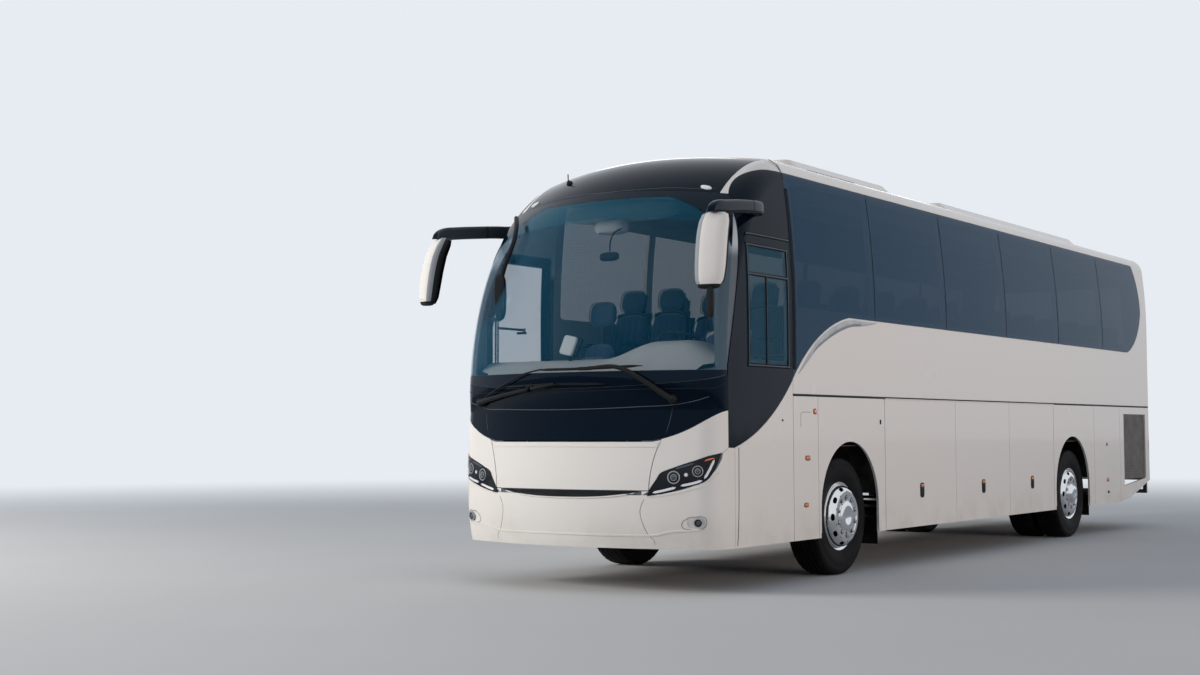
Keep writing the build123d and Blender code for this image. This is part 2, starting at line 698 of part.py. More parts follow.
def side_wall():
    """One side wall above the rub line, recessed and cut for its glazing."""
    ring = main_shell(0, WALL, RUB_Z + 15, PILLAR_S + 2, REAR_SEAM_S)
    wall = ring & block(0, HALF + 9, PILLAR_S, REAR_SEAM_S + 9, RUB_Z, RAIL_Z)
    recess = main_shell(-5, SKIN + SEAT, RUB_Z, PILLAR_S - 9, REAR_SEAM_S)
    wall = wall - (recess & lateral(glazing_face(), 0, HALF + 60))
    for first, last in zip(MULLIONS, MULLIONS[1:]):
        start = max(first, MULLIONS[0] + 60)
        wall = wall - window_block((start + PILLAR_HALF, last - PILLAR_HALF, BELT_Z + 45, RAIL_Z - 84), 0, HALF + 60)
    first = MULLIONS[-1] + PILLAR_HALF
    low = BELT_Z + 45
    rear = rounded([(first, low), (10830, low), (11300, 2620), (11460, 2880), (11300, RAIL_Z - 84),
                    (first, RAIL_Z - 84)], WINDOW_R)
    return wall - lateral(rear, 0, HALF + 60)


def side_panes():
    """The bonded panes of one side behind the front pillar."""
    outline = offset(glazing_face(), -PANE_GAP)
    glass = main_shell(0, SKIN, RUB_Z, PILLAR_S, REAR_SEAM_S) & lateral(outline, 0, HALF + 60)
    for station in MULLIONS[1:]:
        glass = glass - block(0, HALF + 9, station - MULLION_GAP / 2, station + MULLION_GAP / 2, 0, ROOF_TOP)
    return glass - block(0, HALF + 9, 0, PILLAR_S + PANE_GAP, 0, ROOF_TOP)


def upper_body(frame, glass_light, lamp, quarters, front_rails, skin):
    """Cab frame, side walls, glazing, rails, roof and rear end."""
    put("cab_frame", cab_shell(frame, glass_light, lamp))
    wall = side_wall()
    put("body_sides", *both(wall))
    window = window_block(CAB_WINDOW, 0, HALF + 60)
    door_hole = door_block(-GAP)
    put("quarter_panels", quarters - window - door_hole)
    cab_pane = skin & window_block(grow(CAB_WINDOW, -PANE_GAP), 0, HALF + 60)
    put("side_glazing", cab_pane, *both(side_panes()))
    ring = main_shell(0, 40, RUB_Z, PILLAR_S + 2, REAR_SEAM_S)
    middle = block(-RAIL_INNER_X, RAIL_INNER_X, 0, REAR_S, RAIL_Z, ROOF_TOP + 50)
    edge = block(RAIL_INNER_X + SEAT, HALF, 0, REAR_S, RAIL_Z + SEAT, ROOF_TOP + 50)
    put("roof_shell", ring & middle)
    put("cant_rails", front_rails, *both(ring & edge))
    pods = [rounded_pod(700, 2600, 4900, 110), rounded_pod(640, 6300, 10900, 130)]
    put("roof_pods", *pods)


def rounded_pod(half, s0, s1, height):
    """A low roof unit that follows the crown."""
    plan = fillet(polygon([(-half, s0), (half, s0), (half, s1), (-half, s1)]).vertices(), 160)
    low = CROWN_C[1] + sqrt(CROWN_R ** 2 - half ** 2) - 2
    body = upward(plan, low, ROOF_TOP + height)
    body = body - across(hull_face(-SEAT, low - 100), s0 - 9, s1 + 9)
    return chamfer(body.edges().group_by(Axis.Z)[-1], height * 0.6)


def rear_cut(half, low, high, radius, taper=0):
    """A rounded opening in rear view, as a block through the rear wall. taper draws its top corners in."""
    face = rounded([(-half, low), (half, low), (half - taper, high), (taper - half, high)], radius)
    return across(face, REAR_S - 400, REAR_S + 9)


def lamp_cuts(gap):
    """The two tail lamps' places in rear view, moved inwards by a gap."""
    x0, x1, z0, z1 = TAIL_LAMP
    face = polygon([(x0 + gap, z0 + gap), (x1, z0 + gap), (x1, z1 - gap), (x0 + gap, z1 - gap)])
    return both(across(face, REAR_S - 300, REAR_S + 9))


def rear_pieces():
    """The rear end with its window, engine lid, bumper and lamps."""
    shell = rear_shell(0, WALL, REAR_LOW_Z)
    skin = rear_shell(0, SKIN, REAR_LOW_Z)
    recess = rear_shell(-2, SKIN + SEAT, REAR_LOW_Z)
    half, low, high, radius = LID
    window = rear_cut(*REAR_WINDOW, taper=40)
    window_half, window_low, window_high, window_r = REAR_WINDOW
    light = rear_cut(window_half - 60, window_low + 60, window_high - 60, window_r - 30, taper=40)
    body = shell & block(-HALF - 9, HALF + 9, REAR_SEAM_S, REAR_S + 9, REAR_BUMPER_Z, ROOF_TOP + 9)
    body = body - rear_cut(half + GAP, low - GAP, high + GAP, radius + GAP) - light - (recess & window)
    for lamp in lamp_cuts(0):
        body = body - (recess & lamp)
    for x in LID_HINGE_X:
        body = body + rod_x(x + 36.3, x + 66, *LID_PIVOT, LID_KNUCKLE_R)
        body = body + block(x + 36.3, x + 66, REAR_S - 12, LID_PIVOT[0], LID_PIVOT[1] + 3, LID_PIVOT[1] + 43)
    put("rear_body", body)
    put("rear_window", skin & window)
    put("tail_lamps", *[skin & lamp for lamp in lamp_cuts(GAP - 1)])
    lid = rear_shell(0, LID_T, REAR_LOW_Z) & rear_cut(*LID)
    for x in LID_HINGE_X:
        lid = lid + rod_x(x, x + 36, *LID_PIVOT, LID_KNUCKLE_R)
        lid = lid + block(x, x + 36, REAR_S - 12, LID_PIVOT[0], LID_PIVOT[1] - 47, LID_PIVOT[1] - 3)
    put("engine_lid", lid)
    put("bumper_rear", shell & block(-HALF - 9, HALF + 9, REAR_SEAM_S, REAR_S + 9, REAR_LOW_Z, REAR_BUMPER_Z - SEAT))


def arch_cut(arch):
    """The opening of a wheel arch: upright legs under a half circle."""
    middle, radius, spring = arch
    face = polygon([(middle - radius, 0), (middle + radius, 0), (middle + radius, spring), (middle - radius, spring)])
    disc = Pos(middle, spring) * Circle(radius)
    return lateral(face + disc, 0, HALF + 60)


def flank_panels():
    """Fixed panels of the left flank below the rub line."""
    panels = []
    for first, last in FLANK_SEAMS:
        plate = block(HALF - PANEL, HALF, first + SEAM / 2, last - SEAM / 2, SKIRT_Z, PANEL_TOP_Z)
        for arch in ARCHES:
            if first < arch[0] < last:
                plate = plate - arch_cut(arch)
                plate = plate - block(HALF - 4, HALF + 9, first, last, 1283, 1287)
        panels.append(plate)
    first = TAIL_PANEL[0][0] + SEAM / 2
    outline = [(first, SKIRT_Z)] + TAIL_PANEL[1:] + [(TAIL_PANEL[2][0], PANEL_TOP_Z), (first, PANEL_TOP_Z)]
    tail = lateral(polygon(outline), HALF - PANEL, HALF)
    hole = polygon([(GRILLE[0], GRILLE_FRONT_Z), (GRILLE[1], GRILLE[2]), (GRILLE[1], GRILLE[3]),
                    (GRILLE[0], GRILLE[3])])
    panels.append(tail - lateral(hole, 0, HALF + 60))
    return panels


def swoosh_panel():
    """The white panel beside the driver, with its swept top edge."""
    face = make_face([
        Line((BUMPER_SEAM_S, SKIRT_Z), (PILLAR_S - 4, SKIRT_Z)),
        Line((PILLAR_S - 4, SKIRT_Z), (PILLAR_S - 4, SWOOSH_LOW[2][1] - 6)),
        ThreePointArc((PILLAR_S - 4, SWOOSH_LOW[2][1] - 6), (SWOOSH_LOW[1][0], SWOOSH_LOW[1][1] - 3),
                      (BUMPER_SEAM_S, SWOOSH_LOW[0][1])),
        Line((BUMPER_SEAM_S, SWOOSH_LOW[0][1]), (BUMPER_SEAM_S, SKIRT_Z)),
    ])
    return lateral(face, HALF - SKIN, HALF)


def grille():
    """The louvred engine grille of one side: a frame with slats."""
    s0, s1, low, high = GRILLE
    slats = []
    z = low + 30
    while z < high - 20:
        slats.append(block(HALF - 20, HALF - 4, s0 + 2, s1 - 2, z, z + 12))
        z += 36
    frame = block(HALF - PANEL, HALF - 18, s0 + 2, s1 - 2, low + 2, high - 2)
    for slat in slats:
        frame = frame + slat
    return frame


def luggage_door(first, last):
    """One luggage door of the left side, with the bead it hangs from."""
    s0 = first + SEAM / 2
    s1 = last - SEAM / 2
    door = block(HALF - PANEL, HALF, s0, s1, SKIRT_Z, DOOR_TOP_Z)
    for z in (560, 960, 1360):
        door = door + block(HALF - PANEL - 22, HALF - PANEL, s0 + 60, s1 - 60, z - 30, z + 30)
    neck = block(HALF - 6, HINGE_X, s0, s1, DOOR_TOP_Z - 4, HINGE_Z)
    return door + neck + rod_s(HINGE_X, HINGE_Z, s0, s1, HINGE_R)


def rub_rail():
    """The rail along the rub line that the luggage doors hang from."""
    rail = block(HALF - WALL, HINGE_X, BAYS[0][1] - 2, BAYS[-1][2] + 2, PANEL_TOP_Z + 4, RUB_Z + 14.7)
    for first, last in [(PILLAR_S + 4, BAYS[0][1] - 2), (BAYS[-1][2] + 2, REAR_SEAM_S - 2)]:
        rail = rail + block(HALF - WALL, HINGE_X, first, last, PANEL_TOP_Z + 4, RUB_Z + 14.7)
    return rail - rod_s(HINGE_X, HINGE_Z, BAYS[0][1] - 2, BAYS[-1][2] + 2, HINGE_R + 0.3)


def lower_flanks():
    """Panels, doors, rub rails and grilles of both flanks below the windows."""
    left = flank_panels()
    behind_door = block(0, HALF, DOOR_OUTLINE[1][0] + GAP, PILLAR_S, SKIRT_Z, RAIL_Z)
    right_filler = mirror(swoosh_panel() & behind_door, about=Plane.YZ)
    put("flank_panels", swoosh_panel(), right_filler, *[item for panel in left for item in both(panel)])
    for name, first, last in BAYS:
        left_door, right_door = both(luggage_door(first, last))
        put(f"luggage_door_left_{name}", left_door)
        put(f"luggage_door_right_{name}", right_door)
    put("rub_rails", *both(rub_rail()))
    put("side_grilles", *both(grille()))


def entry_door(door_skin, skin):
    """The outward-swinging door on the right, its glass and the arm that carries it."""
    leaf = (door_skin & door_block(0)) - door_light(0)
    x, st = COLUMN
    pin_s = st + ARM_REACH
    for z in ARM_LEVELS:
        leaf = leaf + block(-HALF + 20, x + 16, pin_s - 16, pin_s + 16, z - 36, z - 16)
        leaf = leaf + rod_z(x, pin_s, z - 20, z + 16, 10)
    put("entry_door", leaf)
    put("entry_door_glass", skin & door_light(SEAT))
    arm = rod_z(x, st, *COLUMN_Z, 18)
    for z in ARM_LEVELS:
        eye = rod_z(x, pin_s, z - 10, z + 10, 16) + block(x - 9, x + 9, st, pin_s, z - 10, z + 10)
        arm = arm + (eye - rod_z(x, pin_s, z - 30, z + 30, 10.3))
    put("entry_door_arm", arm)


def many_sided(x, rows):
    """A form of TYRE_SIDES flats about the wheel axis, through (distance from x, radius) rows."""
    sections = []
    for out, radius in rows:
        plane = Plane(origin=(x + out, 0, 0), x_dir=(0, 1, 0), z_dir=(1, 0, 0))
        sections.append(plane * RegularPolygon(radius, TYRE_SIDES))
    return loft(sections, ruled=True)


def mirrored_rows(rows):
    """Rows from the far side to the near side of a middle plane."""
    return [(-out, radius) for out, radius in rows] + [(out, radius) for out, radius in reversed(rows)]


def tyre(x):
    """A plain tyre about the wheel axis."""
    widest = TYRE_ROWS[0][0]
    slope = (TYRE_WIDEST_R - BEAD_R) / (widest - BEAD_HALF)
    hollow = [(widest + 2, TYRE_WIDEST_R + 2 * slope), (BEAD_HALF, BEAD_R)]
    return many_sided(x, mirrored_rows(TYRE_ROWS)) - many_sided(x, mirrored_rows(hollow))


def turned(x, points):
    """A profile of (distance from x, radius) points turned about the wheel axis."""
    return revolve(polygon([(x + out, radius) for out, radius in points]), Axis.X)


def dressed_rim(x, face):
    """A rim with two lips, a conical band with hand holes and a flat nut face outwards."""
    out, radius = face
    rim = turned(x, [
        (SEAT - BEAD_HALF, RIM_R), (BEAD_HALF + LIP_START, RIM_R), (121.3, LIP_R), (127, LIP_R - 2), (122, 282),
        (102, 279), (out, radius), (out, HUB_R - 5), (out - RIM_T, HUB_R - 5), (out - RIM_T, radius - 8),
        (92, 268), (SEAT - BEAD_HALF, 272)])
    middle, half_s, half_r = HAND_HOLE
    cut = half_r / 2
    outline = polygon([
        (-half_s, middle - half_r + cut), (cut - half_s, middle - half_r), (half_s - cut, middle - half_r),
        (half_s, middle - half_r + cut), (half_s, middle + half_r - cut), (half_s - cut, middle + half_r),
        (cut - half_s, middle + half_r), (-half_s, middle + half_r - cut)])
    hole = lateral(outline, x + BEAD_HALF - 40, x + out + 5)
    for number in range(HAND_HOLES):
        rim = rim - Rot(360 / HAND_HOLES * number, 0, 0) * hole
    return rim


def inner_rim(x, disc_x, hub_r):
    """The inner twin wheel's rim, a barrel with a flat disc."""
    half = BEAD_HALF - SEAT
    disc = disc_x - x
    return turned(x, [(-half, RIM_R), (half, RIM_R), (half, 272), (disc + 6, 270), (disc + 6, hub_r),
                      (disc - 6, hub_r), (disc - 6, 270), (-half, 272)])


def knuckle():
    """The left knuckle: spindle, kingpin boss, brake disc and caliper."""
    spindle = rod_x(KINGPIN_X, FRONT_TYRE_X + 90, FRONT_AXLE_S, AXLE_Z, SPINDLE_R)
    boss = rod_z(KINGPIN_X, FRONT_AXLE_S, AXLE_Z - 110, AXLE_Z + 110, 34)
    brake = rod_x(KINGPIN_X + 45, KINGPIN_X + 75, FRONT_AXLE_S, AXLE_Z, 200)
    caliper = block(KINGPIN_X + 36, KINGPIN_X + 100, FRONT_AXLE_S - 60, FRONT_AXLE_S + 60, AXLE_Z + 120, AXLE_Z + 225)
    pin = rod_z(KINGPIN_X, FRONT_AXLE_S, AXLE_Z - 150, AXLE_Z + 150, KINGPIN_R + 0.1)
    return spindle + boss + brake + caliper - pin


def front_axle():
    """The dropped beam with its two kingpins and spring seats."""
    low, high = AXLE_Z - 190, AXLE_Z - 110.3
    beam = block(60 - KINGPIN_X, KINGPIN_X - 60, FRONT_AXLE_S - 45, FRONT_AXLE_S + 45, low, high)
    for side in (-1, 1):
        x = side * KINGPIN_X
        x0, x1 = sorted((x, x - side * 70))
        beam = beam + rod_z(x, FRONT_AXLE_S, low, high, 40)
        beam = beam + block(x0, x1, FRONT_AXLE_S - 45, FRONT_AXLE_S + 45, low, high)
        beam = beam + rod_z(x, FRONT_AXLE_S, low, AXLE_Z + 150, KINGPIN_R)
        beam = beam + spring_seat(side, FRONT_AXLE_S, high)
    return beam


def spring_seat(side, station, low):
    """The block between an axle and the rail above it."""
    x = side * (RAIL[0] + RAIL[1]) / 2
    return block(x - 50, x + 50, station - 50, station + 50, low, RAIL[2] - SEAT)


def wheels():
    """Tyres and rims of the four wheels, knuckles and axles."""
    place = Pos(0, FRONT_AXLE_S, AXLE_Z)
    out = FRONT_FACE[0]
    hub = rod_x(FRONT_TYRE_X + 15, FRONT_TYRE_X + out, 0, 0, HUB_R)
    hub = hub - rod_x(FRONT_TYRE_X, FRONT_TYRE_X + 95, 0, 0, SPINDLE_R + 0.1)
    cap = turned(FRONT_TYRE_X, [(out - RIM_T, 0), (out, 134), (out + 11, 112), (out + 11, 0)])
    left_pieces = [("tyre_front", place * tyre(FRONT_TYRE_X)),
                   ("rim_front", place * (dressed_rim(FRONT_TYRE_X, FRONT_FACE) + hub + cap)),
                   ("knuckle", knuckle())]
    for name, item in left_pieces:
        left, right = both(item)
        put(f"{name}_left", left)
        put(f"{name}_right", right)
    put("front_axle", front_axle())
    place = Pos(0, REAR_AXLE_S, AXLE_Z)
    outer, inner = TWIN_OUTER_X, TWIN_OUTER_X - TWIN_PITCH
    tyres = both(place * tyre(outer)) + both(place * tyre(inner))
    put("tyres_rear_left", tyres[0], tyres[2])
    put("tyres_rear_right", tyres[1], tyres[3])
    mid = (outer + inner) / 2
    out = REAR_FACE[0]
    drum = rod_x(mid - 65, outer + out, 0, 0, DRUM_R) - rod_x(mid - 100, mid + 100, 0, 0, AXLE_TUBE_R + 0.2)
    cap = turned(outer, [(out - RIM_T, 0), (out - RIM_T, DRUM_R), (out, DRUM_R), (out + 37, 80), (out + 37, 0)])
    left, right = both(place * (dressed_rim(outer, REAR_FACE) + inner_rim(inner, mid - 12, DRUM_R - 5) + drum + cap))
    put("rims_rear_left", left)
    put("rims_rear_right", right)
    axle = rod_x(-mid - 60, mid + 60, REAR_AXLE_S, AXLE_Z, AXLE_TUBE_R) + rod_x(-520, 520, REAR_AXLE_S, AXLE_Z, 75)
    axle = axle + rod_x(-130, 130, REAR_AXLE_S, AXLE_Z, 195)
    for side in (-1, 1):
        axle = axle + spring_seat(side, REAR_AXLE_S, AXLE_Z + 40)
    put("rear_axle", axle)


def chassis():
    """Rails, cross members and portal frames, each member a solid of its own, that carry all below the floor."""
    inner = HALF - PANEL - SEAT
    post_in = inner - POST_T
    rail_in, rail_out, rail_low, rail_high = RAIL
    top = DECK_Z - DECK_T - SEAT
    half = PORTAL_T / 2
    members = both(block(post_in, inner, 1910, REAR_SEAM_S - 40, TOP_BEAM_Z, top))
    for first, last in [(640, 3329), (7960, REAR_SEAM_S - 30)]:
        members += both(block(rail_in, rail_out, first, last, rail_low, rail_high))
    for st in PORTALS:
        members.append(block(-inner, inner, st - half, st + half, *PORTAL_Z))
        members.append(block(SEAT - post_in, post_in - SEAT, st - half, st + half, TOP_BEAM_Z, top))
        members += both(block(post_in, inner, st - half, st + half, PORTAL_Z[1] + SEAT, TOP_BEAM_Z - SEAT))
        if st <= BAYS[0][1] or st >= BAYS[-1][2]:
            members.append(block(SEAT - rail_in, rail_in - SEAT, st - half, st + half, rail_low, rail_high))
            members += both(block(*HANGER, st - half, st + half, rail_high + SEAT, TOP_BEAM_Z - SEAT))
    bay_ends = [st for st in PORTALS if BAYS[0][1] - half <= st <= BAYS[-1][2] + half]
    for first, last in zip(bay_ends, bay_ends[1:]):
        s0, s1 = first + half + SEAT, last - half - SEAT
        members.append(block(-post_in, post_in, s0, s1, BAY_FLOOR_Z - 20, BAY_FLOOR_Z))
    for st in (FRONT_AXLE_S, REAR_AXLE_S):
        s0, s1 = st - AXLE_MEMBER_T / 2, st + AXLE_MEMBER_T / 2
        members.append(block(SEAT - rail_in, rail_in - SEAT, s0, s1, 760, 880))
    members.append(block(SEAT - rail_in, rail_in - SEAT, 640, 700, rail_low, rail_high))
    for st, z in TOW_JAWS:
        back = 1 if st < FAN_S else -1
        near, far = sorted((st - back * 40, st + back * (40 - SEAT)))
        members.append(block(-60, 60, near, far, z - 40, z + 40) - rod_z(0, st, z - 60, z + 60, TOW_PIN_R))
    put("chassis_frame", *members)


def housing(first, last, top):
    """The box over one side's wheels, open below and outwards."""
    outer = block(560, HALF - PANEL - 10, first, last, 700, top)
    return outer - block(566, HALF, first + 6, last - 6, 0, top - 6)


def wheel_housings():
    """Boxes over the wheels and flaps behind them."""
    boxes = both(housing(1960.3, 3328.7, 1150)) + both(housing(8001.3, 9424.7, 1150))
    put("wheel_housings", *boxes)
    flaps = both(block(915, 1200, 3322.4, 3328.7, 230, 480)) + both(block(600, 1200, 9418.4, 9424.7, 230, 480))
    put("mudflaps", *flaps)


def floors():
    """Passenger deck, driver's platform and entry stairs."""
    inner = HALF - WALL - SEAT
    deck = block(-inner, inner, CAB_REAR_S, 11690, DECK_Z - DECK_T, DECK_Z)
    cavity = front_solid(WALL + SEAT)
    split = FAN_S - FAN_CORE
    cab = block(WELL_X[0], inner, BULKHEAD_S[0], split, CAB_FLOOR_Z - 40, CAB_FLOOR_Z) & cavity
    cab = cab + block(WELL_X[0], inner, split, CAB_REAR_S, CAB_FLOOR_Z - 40, CAB_FLOOR_Z)
    bulkhead = block(-inner, inner, *BULKHEAD_S, 430, BULKHEAD_TOP_Z) & cavity
    riser = block(WELL_X[0], inner, CAB_REAR_S - 30, CAB_REAR_S, CAB_FLOOR_Z - 40, DECK_Z)
    well = block(*WELL_X, BULKHEAD_S[0], CAB_REAR_S, 430, CAB_FLOOR_Z)
    steps = deck + cab + riser + well + bulkhead
    for side in (-1, 1):
        x0, x1 = sorted((side * (inner - 30), side * inner))
        steps = steps + block(x0, x1, CAB_REAR_S, 11690, DECK_Z - DECK_T, 1640)
    for number in range(3):
        z = 430 + number * STEP_RISE
        x0 = -inner + 60 + number * STEP_RUN
        steps = steps + block(x0, WELL_X[1], *STEP_S, z, z + 30)
        if number:
            steps = steps + block(x0, x0 + 20, *STEP_S, z + 30 - STEP_RISE, z + 30)
    steps = steps + block(-inner, WELL_X[1], STEP_S[1] + 10, CAB_REAR_S, CAB_FLOOR_Z - 40, CAB_FLOOR_Z)
    steps = steps + block(-inner, WELL_X[1], CAB_REAR_S - 30, CAB_REAR_S, CAB_FLOOR_Z - 40, DECK_Z)
    put("floor_deck", steps)


def seat_pair(x, st, base_z):
    """Two joined seats with headrests: cushion, leaning back and pedestal in one side profile."""
    profile = [(0, SEAT), (320, SEAT), (320, 250), (480, 300), (640, 1150), (560, 1160), (400, 460), (-60, 440),
               (-60, 330), (0, 320)]
    return lateral(polygon([(st + along, base_z + up) for along, up in profile]), x - PAIR_HALF, x + PAIR_HALF)


def driver_seat():
    """The driver's high seat on its pedestal."""
    x0, x1, st = DRIVER_SEAT
    floor = CAB_FLOOR_Z
    profile = [(0, 450), (480, 450), (640, 1370), (560, 1380), (420, 580), (0, 570)]
    seat = lateral(polygon([(st + along, floor + up) for along, up in profile]), x0, x1)
    return seat + block(x0 + 130, x1 - 130, st + 60, st + 360, floor + SEAT, floor + 455)


def guide_seat():
    """The guide's folded seat on its locker behind the stairs."""
    x0, x1, st = GUIDE_SEAT
    profile = [(0, 0), (230, 0), (270, 620), (190, 640), (60, 620), (0, 560)]
    seat = lateral(polygon([(st + along, GUIDE_LOCKER_Z + up) for along, up in profile]), x0, x1)
    rest = [(190, 600), (270, 610), (300, 990), (230, 995)]
    back = polygon([(st + along, GUIDE_LOCKER_Z + up) for along, up in rest])
    locker = block(x0 - 120, x1 + 60, st, st + 300, CAB_FLOOR_Z + SEAT, GUIDE_LOCKER_Z)
    return seat + lateral(back, x0 + 40, x1 - 40) + locker


def seats():
    """Rows of double seats on the deck, and the driver's and guide's seats."""
    rows = []
    st, pitch, last = SEATS
    while st < last:
        rows += [seat_pair(-PAIR_X, st, DECK_Z), seat_pair(PAIR_X, st, DECK_Z)]
        st += pitch
    put("passenger_seats", *rows)
    put("cab_seats", driver_seat(), guide_seat())


def dashboard():
    """The dashboard across the cab with its cowl over the stairs, and the steering column."""
    back = BULKHEAD_S[1] + SEAT
    dash = polygon([(back, CAB_FLOOR_Z + SEAT), (640, CAB_FLOOR_Z + SEAT), (640, 1640), (720, 1720), (720, 1930),
                    (350, 1880), (back, BULKHEAD_TOP_Z)])
    hump = polygon([(350, 1880), (440, 1970), (600, DASH_TOP_Z), (720, DASH_TOP_Z - 20), (720, 1720)])
    cowl = polygon([(back, 1480), (540, 1480), (560, 1850), (350, 1830), (back, BULKHEAD_TOP_Z)])
    dash_solid = lateral(dash, -450, 1180) + lateral(hump, *HUMP_X) + lateral(cowl, -1180, -450)
    column = Pos(*STEER_C) * Rot(-STEER_TILT, 0, 0)
    post = column * (Pos(0, 0, -200) * Cylinder(32, 269.4))
    put("dashboard", (dash_solid & front_solid(WALL + GAP)) + post)
    ring = revolve(Plane.XZ * (Pos(STEER_R, 0) * RegularPolygon(STEER_RING_R, 8)), Axis.Z)
    put("steering_wheel", column * (ring + Box(2 * STEER_R - 30, 30, 14) + Pos(0, 0, -30) * Cylinder(40, 70)))


def interior():
    """Seats, racks, dashboard, wheel and engine."""
    seats()
    s0, s1, low, high, reach = RACK
    rack = polygon([(flank_x(low) - WALL - 0.5, low), (flank_x(high) - WALL - 0.5, high), (reach, high),
                    (reach, low + 50), (reach + 60, low)])
    put("luggage_racks", *both(across(rack, s0, s1)))
    dashboard()
    put("engine_block", block(SEAT - RAIL[0], RAIL[0] - SEAT, *ENGINE))


def mirror_arm():
    """The left mirror's arm: a foot on the flank and a bowed tube forward to the head."""
    s0, s1, low, high = MIRROR_FOOT
    foot = across(polygon([(flank_x(low) + 0.9, low), (flank_x(high) + 0.9, high), (1300, high - 20),
                           (1320, low + 30)]), s0, s1)
    path = ThreePointArc(*MIRROR_ARM)
    section = Plane(origin=path @ 0, z_dir=path % 0) * RectangleRounded(66, 96, 22)
    head_top = MIRROR_ROWS[-1][0] + SEAT
    return foot + sweep(section, path=path) - block(1200, 1600, -200, 60, 2300, head_top)


def mirror_head():
    """The left mirror's leaning, rounded head."""
    sections = []
    for z, x, st, width, depth, radius in MIRROR_ROWS:
        sections.append(Pos(x, st, z) * RectangleRounded(width, depth, radius))
    return loft(sections, ruled=True)


def front_station(x, z):
    """About where the front's outer surface lies at a distance from the middle and a height."""
    angle = 0
    for _ in range(SOLVE_ROUNDS):
        share = degrees(angle) / FAN[1][0]
        reach = FAN[0][1] + share * (FAN[1][1] - FAN[0][1])
        front_r = FAN[0][3] + share * (FAN[1][3] - FAN[0][3])
        along = reach - front_r + sqrt(front_r ** 2 - x * x)
        angle = atan2(z - FAN_Z, along * cos(angle))
    return FAN_S - along * cos(angle)


def bowed(ends, lift, size):
    """A six-sided bar bowed through three (x, z) points, held off the front by a lift."""
    path = ThreePointArc(*[(x, front_station(x, z) - lift, z) for x, z in ends])
    return sweep(Plane(origin=path @ 0, z_dir=path % 0) * RegularPolygon(size, 6), path=path)


def wiper(pivot, elbow, blade):
    """One wiper: blade, the post that holds it, arm and the arm's boss."""
    middle = blade[1]
    st = front_station(*middle)
    post = rod_s(middle[0], middle[1], st - ARM_LIFT - 8, st - BLADE_LIFT, 9)
    base = front_station(*pivot)
    boss = rod_s(pivot[0], pivot[1], base - ARM_LIFT - 14, base + 60, 26)
    return bowed(blade, BLADE_LIFT, 11) + post + bowed([pivot, elbow, middle], ARM_LIFT, 12) + boss


def outside():
    """Mirrors and wipers."""
    arm = mirror_arm()
    put("mirror_arms", *both(arm))
    put("mirror_heads", *both(mirror_head()))
    ahead = front_solid(-SEAT)
    put("wipers", *[wiper(*row) - ahead for row in WIPERS])


def build():
    """Write every node."""
    skin, frame, door_skin, quarters, front_rails, glass_light, lamp = front_pieces()
    upper_body(frame, glass_light, lamp, quarters, front_rails, skin)
    rear_pieces()
    lower_flanks()
    entry_door(door_skin, skin)
    wheels()
    chassis()
    wheel_housings()
    floors()
    interior()
    outside()


build()
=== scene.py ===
from math import cos, exp, pi, radians, sin, tau

import bpy
from mathutils import Matrix, Vector
from mathutils.bvhtree import BVHTree


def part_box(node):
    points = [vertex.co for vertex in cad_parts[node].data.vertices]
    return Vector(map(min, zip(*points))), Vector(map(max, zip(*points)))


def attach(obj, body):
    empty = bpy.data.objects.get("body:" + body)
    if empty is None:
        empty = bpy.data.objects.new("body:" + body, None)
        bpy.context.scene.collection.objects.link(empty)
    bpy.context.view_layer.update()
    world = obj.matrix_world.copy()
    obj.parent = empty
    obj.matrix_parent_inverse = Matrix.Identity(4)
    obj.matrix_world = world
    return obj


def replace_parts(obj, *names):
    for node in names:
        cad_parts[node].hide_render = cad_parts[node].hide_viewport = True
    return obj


# The looks of a two-axle coach bus, in metres. Places along the bus are stations, measured back from
# the foremost point of the bumper, and +X is the driver's side.

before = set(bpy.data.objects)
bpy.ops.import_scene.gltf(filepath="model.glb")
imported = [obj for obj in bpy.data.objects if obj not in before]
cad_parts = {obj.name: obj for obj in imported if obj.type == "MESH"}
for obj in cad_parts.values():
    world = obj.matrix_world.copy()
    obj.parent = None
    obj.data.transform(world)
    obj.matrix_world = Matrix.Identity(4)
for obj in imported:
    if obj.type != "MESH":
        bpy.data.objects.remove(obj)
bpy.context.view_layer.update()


def low(node):
    """The lowest corner of a CAD node."""
    return Vector(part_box(node)[0])


def high(node):
    """The highest corner of a CAD node."""
    return Vector(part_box(node)[1])


def middle(node):
    """The middle of a CAD node's box."""
    return (low(node) + high(node)) / 2


NOSE_Y = low("bumper_front").y
FLANK_X = high("flank_panels").x
FRONT_AXLE = middle("tyre_front_left")
REAR_AXLE = middle("tyres_rear_left")
SIDES = ((1, "left"), (-1, "right"))
AHEAD = (0, -1, 0)
BACK = (0, 1, 0)

# The camera, from the calibrated photograph
CAMERA_X = 7.778
CAMERA_S = -10.744
CAMERA_Z = 1.279
CAMERA_YAW = 34.602
CAMERA_PITCH = 3.299
CAMERA_ROLL = -0.213
LENS_MM = 49.125


def at(x, station, z):
    """A point by its distance from the middle, its station and its height."""
    return Vector((x, NOSE_Y + station, z))


def flank(side, station, z):
    """A point as far out as the flank."""
    return at(side * FLANK_X, station, z)


def mirrored(points):
    """A line across the bus from its half on the driver's side, whose first point is in the middle."""
    return [(-x, s, z) for x, s, z in points[:0:-1]] + points


def tipped(angle):
    """A turn about the X axis."""
    return Matrix.Rotation(angle, 4, "X")


# Materials

